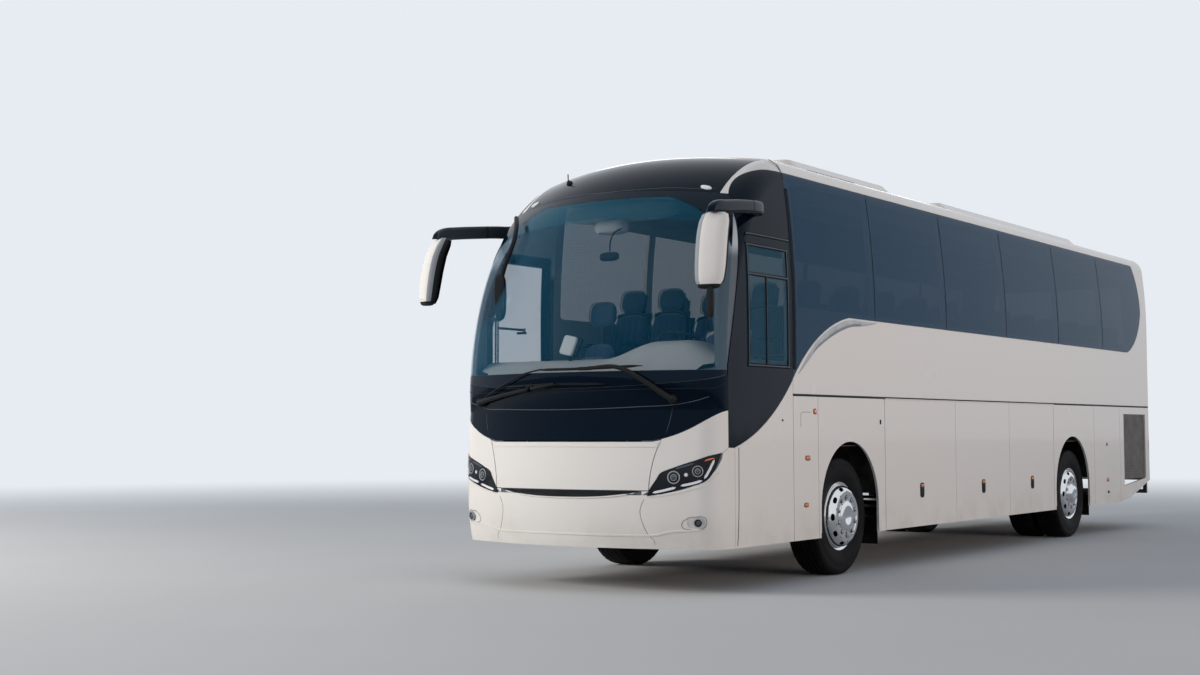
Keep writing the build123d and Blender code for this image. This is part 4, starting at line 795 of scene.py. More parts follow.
def nearest(tree, point, away):
    """The surface's point and outward normal by a place, found from just outside it."""
    away = Vector(away)
    spot, normal, _, _ = tree.find_nearest(point + away * CLING_FROM)
    return spot, -normal if normal.dot(away) < 0 else normal


def cling(tree, points, away, step=0.03):
    """(point, normal) rows of a smooth line laid on a surface."""
    return [nearest(tree, point, away) for point in smooth_line(points, step)]


def ribbon(shape, rows, half, lift, slot=0, sunk=0.002, flat=0.6, taper=0.0):
    """A low bar along (point, normal) rows, sunk a little into the surface. taper is the ends' length."""
    loops = []
    lengths = arc_lengths([point for point, _ in rows])
    for index, (point, normal) in enumerate(rows):
        ahead = rows[min(index + 1, len(rows) - 1)][0] - rows[max(index - 1, 0)][0]
        side = ahead.cross(normal).normalized()
        width = half
        if taper:
            width *= min(1.0, 0.15 + min(lengths[index], lengths[-1] - lengths[index]) / taper)
        loops.append([point + side * width - normal * sunk, point + side * width * flat + normal * lift,
                      point - side * width * flat + normal * lift, point - side * width - normal * sunk])
    shape.skin(loops, slot)


def lay(shape, tree, points, away, half, lift, slot=0, step=0.05, **more):
    """A ribbon along a smooth line laid on a surface."""
    ribbon(shape, cling(tree, points, away, step), half, lift, slot, **more)


def raised(rows, height):
    """(point, normal) rows moved off their surface."""
    return [(point + normal * height, normal) for point, normal in rows]


def blob(shape, tree, centre, away, half_w, half_h, lift, up=(0, 0, 1), power=3.0, steps=20, slot=0):
    """A low rounded plate standing on a surface, as wide as half_w along it and half_h up it."""
    spot, normal = nearest(tree, centre, away)
    side = Vector(up).cross(normal).normalized()
    top = normal.cross(side)
    rows = []
    for grow, height in ((1.0, -0.003), (1.0, lift * 0.6), (0.9, lift * 0.93), (0.6, lift)):
        row = []
        for k in range(steps):
            w, h = ringed(tau * k / steps, half_w * grow, half_h * grow, power)
            row.append(spot + side * w + top * h + normal * height)
        rows.append(row)
    shape.grid(rows, slot, wrap=True)
    shape.add(rows[-1], [list(range(steps))], slot)


# Width and height of the thin seams
SEAM = (0.0025, 0.0008)

# piece, body, nodes it lies on, way out, material, half width, lift, both sides, points (x, station, z)
LINES = [
    ("bumper_seams", "body", ("bumper_front",), AHEAD, "gap", 0.0025, 0.0006, True,
     [(0.727, 0.09, 0.750), (0.696, 0.085, 0.686), (0.689, 0.088, 0.629), (0.71, 0.101, 0.543),
      (0.74, 0.12, 0.472), (0.785, 0.142, 0.423), (0.79, 0.15, 0.385)]),
    ("bumper_creases", "body", ("bumper_front",), AHEAD, "white", 0.010, 0.005, False,
     mirrored([(0.0, 0.03, 0.455), (0.4, 0.06, 0.455), (0.774, 0.13, 0.460), (0.935, 0.173, 0.492),
               (1.198, 0.286, 0.513)])),
    ("bumper_creases", "body", ("bumper_front",), (0.3, -1, 0), "white", 0.009, 0.004, True,
     [(0.760, 0.094, 0.765), (0.949, 0.154, 0.795), (1.100, 0.210, 0.835), (1.208, 0.275, 0.873),
      (1.262, 0.37, 0.965)]),
    ("flap_crease", "front_flap", ("front_flap",), AHEAD, "white", 0.009, 0.005, False,
     mirrored([(0.0, 0.04, 1.165), (0.4, 0.06, 1.165), (0.8, 0.12, 1.165), (1.150, 0.230, 1.165)])),
    # Painted highlight: the bead along the mask's ledge and the mask's seams are in the paler edge colour.
    ("mask_edge", "body", ("front_mask",), AHEAD, "edge", 0.004, 0.0022, False,
     [(-1.268, 0.44, 1.598), (-1.145, 0.251, 1.525), (-0.996, 0.194, 1.498), (-0.926, 0.174, 1.472),
      (-0.664, 0.101, 1.465), (-0.358, 0.050, 1.458), (0.0, 0.03, 1.456), (0.358, 0.050, 1.461),
      (0.664, 0.101, 1.472), (0.948, 0.179, 1.486), (1.145, 0.251, 1.525), (1.268, 0.44, 1.598)]),
    ("mask_seams", "body", ("front_mask",), AHEAD, "edge", 0.0028, 0.0012, True,
     [(0.940, 0.189, 1.466), (0.922, 0.176, 1.368), (0.893, 0.157, 1.26)]),
    ("screen_seams", "body", ("windscreen", "front_mask"), AHEAD, "gap", 0.004, 0.0015, False,
     [(-1.270, 0.46, 1.662), (-1.179, 0.269, 1.618), (-0.786, 0.118, 1.609), (0.0, 0.011, 1.601),
      (0.673, 0.089, 1.613), (1.088, 0.222, 1.615), (1.25, 0.358, 1.622), (1.272, 0.46, 1.662)]),
    ("roof_seams", "body", ("roof_shell", "cant_rails"), (0, 0, 1), "gap", 0.003, 0.0008, True,
     [(1.000, 1.70, 3.617), (1.000, 6.0, 3.617), (1.000, 11.70, 3.617)]),
    ("roof_seams", "body", ("cant_rails",), (0.8, 0, 0.6), "gap", 0.0028, 0.0008, True,
     [(1.040, 1.542, 3.605), (1.100, 1.542, 3.580), (1.150, 1.542, 3.53), (1.180, 1.542, 3.45)]),
    # Painted highlight: the cap's seam line is in the paler edge colour.
    ("cap_seams", "body", ("front_cap",), (0, -0.4, 1), "edge", 0.003, 0.0012, False,
     mirrored([(0.0, 0.586, 3.290), (0.333, 0.623, 3.292), (0.634, 0.704, 3.29), (0.857, 0.769, 3.278),
               (0.981, 0.845, 3.275)])),
]


def trim_lines():
    """Seams and creases of the front and the roof."""
    shapes = {}
    for name, body, nodes, away, key, half, lift, both, points in LINES:
        shape, keys, _ = shapes.setdefault(name, (Shape(), [], body))
        if key not in keys:
            keys.append(key)
        tree = surface(*nodes)
        for side in ((1, -1) if both else (1,)):
            way = Vector((away[0] * side, away[1], away[2])).normalized()
            path = [at(side * x, s, z) for x, s, z in points]
            taper = 0.0 if key == "gap" else 0.08
            lay(shape, tree, path, way, half, lift, keys.index(key), 0.03, taper=taper)
    for name, (shape, keys, body) in shapes.items():
        shape.make(name, body, keys, 25)


# Side seams: half width, lift, step and (station, height) points
FLANK_LINES = [
    (*SEAM, 0.02, [(1.679, 1.312), (1.681, 1.426), (1.705, 1.440), (1.857, 1.441)]),
    (0.0065, 0.0012, 0.08, [(0.62, 1.150), (0.615, 0.70), (0.60, 0.45), (0.59, 0.375)]),
]
# Side markers, a plug, a keyhole and a vent: material, has a rim, station, z, half length, half height,
# corner power
MARKS = [
    ("amber", True, 1.941, 1.448, 0.024, 0.018, 4.0),
    ("amber", True, 1.801, 1.049, 0.041, 0.015, 4.0),
    ("amber", True, 1.767, 0.651, 0.035, 0.0135, 4.0),
    ("amber", True, 9.966, 0.654, 0.041, 0.017, 4.0),
    ("amber", True, 9.950, 1.100, 0.024, 0.014, 4.0),
    ("plastic", False, 9.970, 0.500, 0.026, 0.018, 2.2),
    ("gap", False, 3.256, 1.360, 0.008, 0.022, 2.4),
    ("gap", False, 1.350, 1.370, 0.008, 0.008, 2.0),
]
MARK_RIM = 0.006
LATCHES = [(4.191, 0.703), (5.783, 0.695), (7.245, 0.696)]
# A latch's plates: height over its middle, half length, half height, lift, corner power
LATCH_PLATES = [(0, 0.050, 0.072, 0.004, 5.0), (-0.02, 0.036, 0.040, 0.0065, 5.0),
                (0.045, 0.030, 0.014, 0.008, 4.0)]
# The swoosh's edge where the silver crescent lies, its depth and its section (share of the depth, lift)
CRESCENT = [(1.626, 1.769), (1.833, 1.950), (2.000, 2.072), (2.300, 2.205), (2.633, 2.285),
            (2.95, 2.288), (3.20, 2.288)]
CRESCENT_DEEP = 0.075
CRESCENT_SECTION = ((0.0, -0.002), (0.06, 0.0025), (0.5, 0.0045), (0.94, 0.0025), (1.0, -0.002))
# The wheel arches: middle, radius, spring height. Their lips start at the foot's height.
ARCHES = [(2.625, 0.585, 0.605), (8.640, 0.610, 0.600)]
ARCH_FOOT_Z = 0.40
ARCH_STEPS = 32


def side_marks(tree, side, name):
    """Markers and other small marks of one flank."""
    marks = Shape()
    keys = ["amber", "gap", "plastic"]
    out = (side, 0, 0)
    for key, rim, s, z, half_w, half_h, power in MARKS:
        spot = flank(side, s, z)
        if rim:
            blob(marks, tree, spot, out, half_w + MARK_RIM, half_h + MARK_RIM, 0.004, power=power,
                 slot=keys.index("gap"))
        blob(marks, tree, spot, out, half_w, half_h, 0.009, power=power, slot=keys.index(key))
    marks.make(f"side_markers_{name}", "body", keys, 40)


def latches(side, name):
    """The luggage doors' latches on one side."""
    for number, (s, z) in enumerate(LATCHES, 1):
        latch = Shape()
        door = f"luggage_door_{name}_{number}"
        skin = surface(door)
        for slot, (rise, half_w, half_h, lift, power) in enumerate(LATCH_PLATES):
            spot = flank(side, s, z + rise)
            blob(latch, skin, spot, (side, 0, 0), half_w, half_h, lift, power=power, slot=slot)
        latch.make(f"latch_{name}_{number}", door, ["plastic", "gap", "amber"], 40)


def crescent(side, name):
    """The silver crescent under the swoosh's edge."""
    edge = smooth_line([flank(side, s, z) for s, z in CRESCENT], 0.04)
    lengths = arc_lengths(edge)
    rows = []
    for share, lift in CRESCENT_SECTION:
        row = []
        for index, point in enumerate(edge):
            deep = CRESCENT_DEEP * sin(pi * lengths[index] / lengths[-1]) ** 0.7
            drop = edge[min(index + 1, len(edge) - 1)] - edge[max(index - 1, 0)]
            down = Vector((0, drop.z, -drop.y)).normalized()
            if down.z > 0:
                down = -down
            row.append(point + down * (0.010 + deep * share) + Vector((side * (lift + 0.001), 0, 0)))
        rows.append(row)
    shape = Shape()
    shape.grid(rows if side < 0 else rows[::-1])
    shape.make(f"crescent_{name}", "body", ["silver"], 50)


def arch_lips(side, name):
    """The rolled lips of one side's wheel arches."""
    lips = Shape()
    for middle_s, radius, spring in ARCHES:
        line = [(middle_s - radius, ARCH_FOOT_Z), (middle_s - radius, spring)]
        for k in range(1, ARCH_STEPS):
            a = pi * k / ARCH_STEPS
            line.append((middle_s - radius * cos(a), spring + radius * sin(a)))
        line += [(middle_s + radius, spring), (middle_s + radius, ARCH_FOOT_Z)]
        lips.tube([at(side * (FLANK_X - 0.004), s, z) for s, z in line], 0.008)
    lips.make(f"arch_lips_{name}", "body", ["white"], 60)


def flank_trim():
    """Seams, markers, latches, the silver crescent and the arch lips of the flanks."""
    tree = surface("flank_panels", "body_sides", "quarter_panels", "side_glazing", "cab_frame", "front_cap")
    for side, name in SIDES:
        seams = Shape()
        for half, lift, step, points in FLANK_LINES:
            lay(seams, tree, [flank(side, s, z) for s, z in points], (side, 0, 0), half, lift, step=step)
        seams.make(f"side_seams_{name}", "body", ["gap"], 25)
        side_marks(tree, side, name)
        latches(side, name)
        crescent(side, name)
        arch_lips(side, name)


# Driver's window: stations and heights of its frame and bars
WINDOW_FRONT_S = 0.795
WINDOW_REAR_S = 1.470
WINDOW_TOP_Z = 2.800
WINDOW_STRIP_Z = 2.893
WINDOW_LOW_Z = 1.815
WINDOW_BAR_Z = 2.560
WINDOW_POST_S = 1.100
# The post behind the driver's window and the door, and the joints between the side windows
POST_S = 1.580
POST_Z = (1.80, 3.36)
GLASS_JOINTS = [3.180, 4.860, 6.530, 8.220, 9.870]
JOINT_Z = (2.32, 3.45)
# How far ahead of a joint the search for the glass starts
JOINT_AHEAD = 0.010


def driver_window():
    """The frame and bars of the driver's sliding window, and the posts behind it and the door."""
    tree = surface("side_glazing", "quarter_panels")
    bars = Shape()
    front, rear = WINDOW_FRONT_S - 0.016, WINDOW_REAR_S + 0.018
    lines = [
        (0.016, (WINDOW_FRONT_S, WINDOW_BAR_Z), (WINDOW_REAR_S, WINDOW_BAR_Z)),
        (0.013, (WINDOW_POST_S, WINDOW_LOW_Z), (WINDOW_POST_S, WINDOW_BAR_Z)),
        (0.016, (WINDOW_FRONT_S, WINDOW_LOW_Z), (WINDOW_FRONT_S, WINDOW_TOP_Z)),
        (0.018, (WINDOW_REAR_S, WINDOW_LOW_Z), (WINDOW_REAR_S, WINDOW_TOP_Z)),
        (0.014, (front, WINDOW_TOP_Z), (rear, WINDOW_TOP_Z)),
        (0.016, (front, WINDOW_LOW_Z), (rear, WINDOW_LOW_Z)),
        (0.014, (front, WINDOW_STRIP_Z), (POST_S - 0.05, WINDOW_STRIP_Z)),
    ]
    for half, *points in lines:
        rows = cling(tree, [flank(1, s, z) for s, z in points], (1, 0, 0), 0.05)
        ribbon(bars, rows, half, 0.007, flat=0.8)
        # The thin strip along each bar, in the paler edge colour, is a painted highlight.
        ribbon(bars, raised(rows, 0.007), half * 0.3, 0.001, 1, sunk=0.0)
    bars.make("driver_window_frame", "body", ["rubber", "edge"], 30)
    glazing = surface("side_glazing")
    for side, name in SIDES:
        post = Shape()
        line = [flank(side, POST_S, z) for z in POST_Z]
        lay(post, glazing, line, (side, 0, 0), 0.024, 0.003, step=0.08, flat=0.9)
        for s in GLASS_JOINTS:
            rows = cling(glazing, [flank(side, s - JOINT_AHEAD, z) for z in JOINT_Z], (side, 0, 0), 0.08)
            rows = [(point + Vector((0, JOINT_AHEAD, 0)), normal) for point, normal in rows]
            ribbon(post, rows, 0.007, 0.0012, flat=0.8)
        post.make(f"window_posts_{name}", "body", ["rubber"], 30)


# Front cap: marker lamps and a stub aerial. Roof units: first and last station of their vents, their place
ROOF_LAMP = (0.925, 0.738, 3.365)
AERIAL_AT = (-0.60, 0.93, 3.46)
AERIAL_FOOT = [(-0.004, 0.030), (0.010, 0.028), (0.030, 0.010), (0.034, 0.0005)]
POD_VENTS = [(2.95, 3.95), (7.2, 8.6), (9.0, 10.5)]
VENT_X = 0.72
VENT_Z = 3.715
VENT_HALF = 0.020


def roof_trim():
    """Marker lamps on the front cap, vents along the roof units and a stub aerial."""
    cap = surface("front_cap")
    lamps = Shape()
    x, s, z = ROOF_LAMP
    for side, _ in SIDES:
        blob(lamps, cap, at(side * x, s, z), (0, -0.6, 0.8), 0.048, 0.022, 0.012, (0, 0.8, 0.6), 2.4)
    spot, normal = nearest(cap, at(*AERIAL_AT), (0, -0.4, 1))
    lamps.spun(AERIAL_FOOT, spot, normal, 20, 1)
    lamps.tube([spot + normal * 0.03, spot + normal * 0.10 + Vector((0, 0.05, 0))], 0.005, 8, 1)
    lamps.make("roof_marker_lamps", "body", ["lamp_white", "plastic"], 40)
    pods = surface("roof_pods")
    vents = Shape()
    for side, _ in SIDES:
        for ends in POD_VENTS:
            rows = cling(pods, [at(side * VENT_X, s, VENT_Z) for s in ends], (side, 0, 0), 0.2)
            ribbon(vents, rows, VENT_HALF, 0.0012, sunk=0.001, flat=0.95)
            for share in (-0.5, 0.0, 0.5):
                rise = Vector((0, 0, VENT_HALF * share))
                slat = [(point + rise + normal * 0.001, normal) for point, normal in rows]
                ribbon(vents, slat, 0.0022, 0.003, 1, sunk=0.0)
    vents.make("roof_unit_vents", "body", ["gap", "plastic"], 30)


# Engine lid: louvres on their dark bed, then the recess, the blank plate in it, its lamps and the handle, as
# x, z, half width, half height, lift, corner power, slot, steps
TAIL_S = 11.95
LOUVRES = 9
LOUVRE_HALF = 0.58
LOUVRE_LOW_Z = 1.225
LOUVRE_STEP = 0.036
LOUVRE_EDGE = 0.030
LID_PLATES = [
    (0, 0.985, 0.300, 0.082, 0.004, 9.0, 2, 40), (0, 0.985, 0.262, 0.057, 0.008, 12.0, 3, 40),
    (-0.16, 1.085, 0.030, 0.012, 0.011, 4.0, 4, 20), (0.16, 1.085, 0.030, 0.012, 0.011, 4.0, 4, 20),
    (0, 0.850, 0.090, 0.020, 0.012, 5.0, 2, 20),
]


def rear_lid():
    """Louvres, a blank plate in its recess with two lamps, and a handle on the engine lid."""
    tree = surface("engine_lid")
    lid = Shape()

    def across(half, z):
        return cling(tree, [at(half, TAIL_S, z), at(0, TAIL_S, z), at(-half, TAIL_S, z)], BACK, 0.05)

    reach = LOUVRE_STEP * (LOUVRES - 1) / 2
    bed = []
    for end, lift in ((-1, -0.002), (-1, 0.0015), (1, 0.0015), (1, -0.002)):
        spots = across(LOUVRE_HALF + LOUVRE_EDGE, LOUVRE_LOW_Z + reach + end * (reach + LOUVRE_EDGE))
        bed.append([point + normal * lift for point, normal in spots])
    lid.grid(bed)
    for number in range(LOUVRES):
        ribbon(lid, across(LOUVRE_HALF, LOUVRE_LOW_Z + LOUVRE_STEP * number), 0.0125, 0.010, 1, flat=0.35)
    for x, z, half_w, half_h, lift, power, slot, steps in LID_PLATES:
        blob(lid, tree, at(x, TAIL_S, z), BACK, half_w, half_h, lift, power=power, slot=slot, steps=steps)
    lid.make("lid_fittings", "engine_lid", ["gap", "white", "plastic", "pale", "lamp_white"], 30)


# Rear: round lamps (height, material), their ring and lens, and the window's rubber
REAR_S = 11.92
REAR_LAMPS = [(1.405, "amber"), (1.240, "red"), (1.080, "lamp_white")]
REAR_LAMP_X = 1.075
REAR_RING = [(-0.002, 0.068), (0.004, 0.067), (0.007, 0.063), (0.006, 0.058), (0.002, 0.056)]
REAR_LENS = [(0.002, 0.0565), (0.009, 0.050), (0.014, 0.032), (0.016, 0.0005)]
REAR_WINDOW_HALF = 0.990
REAR_WINDOW_LOW_Z = 2.372
REAR_WINDOW_TOP_Z = 3.290
REAR_WINDOW_STEPS = 64
# A reflector and an upper marker on each side: place (x, station, z), half width, half height, lift, power
REAR_MARKS = [((0.98, REAR_S, 0.690), 0.075, 0.022, 0.008, 5.0),
              ((0.93, 11.89, 3.470), 0.050, 0.016, 0.012, 3.0)]
# Seams beside the lid and across the tail, and the high stop lamp
REAR_SEAM = [(0.885, REAR_S, 1.70), (0.885, REAR_S, 2.32)]
TAIL_SEAM = mirrored([(0, TAIL_S, 1.70), (0.6, 11.94, 1.70), (1.20, 11.90, 1.70)])
STOP_LAMP = mirrored([(0, 11.9, 3.42), (0.38, 11.9, 3.42)])


def rear_trim():
    """Round lamps in the red clusters, the window's rubber, seams, reflectors and the high stop lamp."""
    lens_tree = surface("tail_lamps")
    tree = surface("rear_body", "rear_window", "bumper_rear")
    keys = ["silver", "amber", "red", "lamp_white", "gap", "rubber", "lamp_face"]
    rear = Shape()
    for side, _ in SIDES:
        for z, key in REAR_LAMPS:
            spot, normal = nearest(lens_tree, at(side * REAR_LAMP_X, REAR_S, z), BACK)
            rear.spun(REAR_RING, spot, normal, 32, 0)
            rear.spun(REAR_LENS, spot, normal, 32, keys.index(key))
        for (x, s, z), half_w, half_h, lift, power in REAR_MARKS:
            blob(rear, tree, at(side * x, s, z), BACK, half_w, half_h, lift, power=power, slot=2)
        lay(rear, tree, [at(side * x, s, z) for x, s, z in REAR_SEAM], BACK, *SEAM, 4, 0.1)
    lay(rear, tree, [at(*p) for p in TAIL_SEAM[::-1]], BACK, *SEAM, 4)
    lay(rear, tree, [at(*p) for p in STOP_LAMP[::-1]], BACK, 0.016, 0.010, 2, flat=0.7)
    outline = []
    middle_z = (REAR_WINDOW_TOP_Z + REAR_WINDOW_LOW_Z) / 2
    half_z = (REAR_WINDOW_TOP_Z - REAR_WINDOW_LOW_Z) / 2
    for k in range(REAR_WINDOW_STEPS + 1):
        x, z = ringed(tau * k / REAR_WINDOW_STEPS, REAR_WINDOW_HALF, half_z, 9.0)
        outline.append(at(x, REAR_S, middle_z + z))
    lay(rear, tree, outline, BACK, 0.014, 0.004, 5, 0.5)
    rear.make("rear_fittings", "body", keys, 35)


# Entry door: rubber round the glass and a seam, as half width, lift, slot and the two ends (station, z).
# Then the handle's recess, the handle and the lock: station, z, half width, half height, lift, power, slot.
DOOR_LINES = [
    (0.012, 0.004, 0, (0.640, 1.165), (1.425, 1.165)), (0.010, 0.004, 0, (0.640, 2.806), (1.425, 2.806)),
    (0.010, 0.004, 0, (0.645, 1.165), (0.645, 2.806)), (0.010, 0.004, 0, (1.420, 1.165), (1.420, 2.806)),
    (*SEAM, 1, (0.60, 0.62), (1.47, 0.62)),
]
DOOR_PLATES = [(0.76, 1.02, 0.075, 0.030, 0.005, 5.0, 1), (0.76, 1.028, 0.055, 0.010, 0.014, 4.0, 2),
               (0.88, 1.02, 0.012, 0.012, 0.005, 2.0, 2)]


def door_trim():
    """The entry door's rubber round its glass, its handle recess and lock."""
    tree = surface("entry_door", "entry_door_glass")
    door = Shape()
    out = (-1, 0, 0)
    for half, lift, slot, *ends in DOOR_LINES:
        lay(door, tree, [flank(-1, s, z) for s, z in ends], out, half, lift, slot)
    for s, z, half_w, half_h, lift, power, slot in DOOR_PLATES:
        blob(door, tree, flank(-1, s, z), out, half_w, half_h, lift, power=power, slot=slot)
    door.make("entry_door_trim", "entry_leaf", ["rubber", "gap", "silver"], 30)


# The intake under the flap: its size and columns, its rows as shares of its height, and those that stand out
SLOT_HALF = 0.690
SLOT_TOP_Z = 0.8125
SLOT_LOW_Z = 0.757
SLOT_COLUMNS = 44
SLOT_SHARES = (0.0, 0.12, 0.15, 0.42, 0.45, 0.72, 0.75, 1.0)
SLOT_SLATS = (0.15, 0.45, 0.75)
# The search for the bumper stays below its upper edge
SLOT_SEARCH_Z = 0.79


def slot_insert():
    """The dark intake under the flap, a lens-shaped insert with a pale lip."""
    tree = surface("bumper_front")
    rows = []
    lips = []
    for k in range(SLOT_COLUMNS + 1):
        x = SLOT_HALF * (2 * k / SLOT_COLUMNS - 1)
        low_z = SLOT_LOW_Z + (SLOT_TOP_Z - SLOT_LOW_Z - 0.004) * abs(x / SLOT_HALF) ** 2.6
        way = Vector((x * 0.35, -1, 0)).normalized()
        column = []
        for share in SLOT_SHARES:
            z = low_z + (SLOT_TOP_Z - low_z) * share
            spot, normal = nearest(tree, at(x, 0.03, min(z, SLOT_SEARCH_Z)), way)
            out = Vector((normal.x, normal.y, 0)).normalized()
            deep = 0.0055 if share in SLOT_SLATS else 0.002
            column.append(Vector((spot.x, spot.y, z)) + out * deep)
            if share == 0.0:
                lips.append((Vector((spot.x, spot.y, low_z - 0.004)), out))
        rows.append(column)
    insert = Shape()
    insert.grid([list(row) for row in zip(*rows)])
    insert.make("intake_insert", "body", ["plastic"], 20)
    lip = Shape()
    ribbon(lip, lips, 0.009, 0.010, flat=0.35, sunk=0.003, taper=0.10)
    lip.make("intake_lip", "body", ["white"], 30)


# The lamp's lower and upper edges from its inner corner to its outer one: (x, station, z)
LAMP_LOW = [(0.740, 0.093, 0.773), (0.810, 0.111, 0.784), (0.900, 0.138, 0.801), (0.988, 0.167, 0.823),
            (1.102, 0.205, 0.856), (1.181, 0.251, 0.886), (1.217, 0.285, 0.921), (1.243, 0.323, 0.980),
            (1.258, 0.357, 1.045), (1.264, 0.388, 1.108)]
LAMP_TOP = [(0.740, 0.093, 0.777), (0.762, 0.098, 0.830), (0.811, 0.112, 0.902), (0.848, 0.123, 0.957),
            (0.929, 0.150, 0.991), (1.022, 0.182, 1.025), (1.112, 0.218, 1.055), (1.203, 0.276, 1.088),
            (1.242, 0.326, 1.100), (1.264, 0.388, 1.112)]
LAMP_COLUMNS = 48
LAMP_ROWS = 10
LAMP_LIFT = 0.003
# Projectors: where on the face, the way out, radius
PROJECTORS = [((0.953, 0.156, 0.921), (0.32, -0.95, 0.02), 0.052),
              ((1.132, 0.224, 0.969), (0.42, -0.91, 0.03), 0.045)]
# A projector's bezel, dark bowl, inner ring and lens: (height, share of the radius) rows, steps, slot
PROJECTOR_PARTS = [
    ([(-0.003, 1.0), (0.005, 1.0), (0.0085, 0.95), (0.0085, 0.87), (0.005, 0.80), (0.002, 0.80)], 32, 1),
    ([(0.003, 0.80), (0.006, 0.64), (0.007, 0.496)], 32, 0),
    ([(0.006, 0.512), (0.0095, 0.496), (0.0095, 0.432), (0.008, 0.416)], 32, 1),
    ([(0.008, 0.416), (0.012, 0.304), (0.0135, 0.12), (0.0135, 0.0)], 24, 2),
]
TIP_R = 0.0005
LAMP_BULB = (1.045, 0.189, 0.942)
BULB_RING = [(0.0, 0.017), (0.006, 0.016), (0.006, 0.012)]
BULB = [(0.005, 0.0125), (0.010, 0.008), (0.011, 0.0005)]
# Light strips and a painted reflection: material, half width, (x, station, z) points
LAMP_LIGHTS = [
    ("lamp_white", 0.0105, [(0.786, 0.105, 0.800), (0.876, 0.130, 0.819), (0.968, 0.160, 0.843)]),
    ("lamp_white", 0.0105, [(1.005, 0.173, 0.856), (1.091, 0.205, 0.874), (1.167, 0.241, 0.898)]),
    ("lamp_white", 0.0110, [(1.180, 0.253, 0.912), (1.214, 0.284, 0.980), (1.240, 0.320, 1.060)]),
    ("amber", 0.0065, [(1.181, 0.254, 1.049), (1.214, 0.286, 1.064), (1.240, 0.326, 1.072)]),
    # A painted reflection inside the lamp, in the paler edge colour
    ("edge", 0.0085, [(0.960, 0.160, 0.988), (1.040, 0.188, 1.012), (1.105, 0.215, 1.032)]),
]


def lamp_face(side):
    """The lamp's glossy black face laid over its corner, with projectors, a bulb, light strips and a painted
    reflection.
    """
    tree = surface("headlamps", "bumper_front")
    keys = ["lamp_face", "silver", "projector", "lamp_white", "amber", "edge"]
    away = Vector((side * 0.45, -1, 0)).normalized()
    edges = []
    for outline in (LAMP_LOW, LAMP_TOP):
        line = smooth_line([at(side * x, s, z) for x, s, z in outline], 0.01)
        lengths = arc_lengths(line)
        edges.append([along(line, lengths, lengths[-1] * k / LAMP_COLUMNS) for k in range(LAMP_COLUMNS + 1)])
    rows = []
    for r in range(-1, LAMP_ROWS + 2):
        share = min(max(r / LAMP_ROWS, 0.0), 1.0)
        lift = LAMP_LIFT if 0 <= r <= LAMP_ROWS else -0.003
        spots = cling(tree, [a.lerp(b, share) for a, b in zip(*edges)], away, 1.0)
        rows.append([point + normal * lift for point, normal in spots])
    lamp = Shape()
    lamp.grid(rows if side > 0 else rows[::-1])
    for (x, s, z), (way_x, way_y, way_z), radius in PROJECTORS:
        normal = Vector((side * way_x, way_y, way_z)).normalized()
        for profile, steps, slot in PROJECTOR_PARTS:
            sized = [(height, max(radius * share, TIP_R)) for height, share in profile]
            lamp.spun(sized, at(side * x, s, z), normal, steps, slot)
    spot, normal = nearest(tree, at(side * LAMP_BULB[0], *LAMP_BULB[1:]), away)
    lamp.spun(BULB_RING, spot, normal, 16, 1)
    lamp.spun(BULB, spot, normal, 16, 3)
    for key, half, points in LAMP_LIGHTS:
        strip = raised(cling(tree, [at(side * x, s, z) for x, s, z in points], away, 0.02), LAMP_LIFT)
        ribbon(lamp, strip, half, 0.004, keys.index(key), sunk=0.001, flat=0.75, taper=0.012)
    return lamp, keys


# Fog lamps: the lens's place, its ring, bowl and glass, and the shallow dish's outline and section
FOG_AT = (1.132, 0.226, 0.566)
FOG_PARTS = [([(-0.012, 0.037), (0.004, 0.037), (0.007, 0.034), (0.005, 0.030), (-0.002, 0.029)], 28, 1),
             ([(-0.002, 0.0295), (0.000, 0.024), (0.000, 0.020)], 28, 2),
             ([(-0.001, 0.020), (0.004, 0.014), (0.005, 0.0005)], 20, 3)]
FOG_OUTLINE = [(1.002, 0.188, 0.556), (1.014, 0.189, 0.580), (1.038, 0.196, 0.594), (1.091, 0.212, 0.608),
               (1.150, 0.238, 0.619), (1.186, 0.266, 0.604), (1.192, 0.270, 0.560), (1.172, 0.258, 0.524),
               (1.125, 0.232, 0.513), (1.073, 0.213, 0.512), (1.020, 0.196, 0.518), (1.002, 0.190, 0.534)]
FOG_SECTION = ((1.0, 0.0), (0.97, -0.0010), (0.93, 0.0030), (0.5, 0.0035), (0.01, 0.0035))


def fog_lamp(side):
    """The shallow dish over the pocket, the line round it and the round lens."""
    skin = surface("bumper_front")
    away = Vector((side * 0.42, -1, -0.10)).normalized()
    outline = [at(side * x, s, z) for x, s, z in FOG_OUTLINE]
    rim = cling(skin, outline + outline[:1], away, 0.02)
    centre = sum((point for point, _ in rim), Vector()) / len(rim)
    rows = []
    for share, sunk in FOG_SECTION:
        rows.append([centre + (point - centre) * share - away * sunk for point, _ in rim])
    fog = Shape()
    fog.grid(rows if side < 0 else rows[::-1])
    for profile, steps, slot in FOG_PARTS:
        fog.spun(profile, at(side * FOG_AT[0], *FOG_AT[1:]), away, steps, slot)
    ribbon(fog, rim, 0.0022, 0.0016, 4)
    return fog, ["white", "silver", "lamp_face", "projector", "gap"]


def headlamps():
    """The lamps at the corners and the fog lamps below them."""
    for side, name in SIDES:
        lamp, keys = lamp_face(side)
        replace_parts(lamp.make(f"headlamp_{name}", "body", keys, 35), "headlamps")
        fog, keys = fog_lamp(side)
        fog.make(f"fog_lamp_{name}", "body", keys, 35)


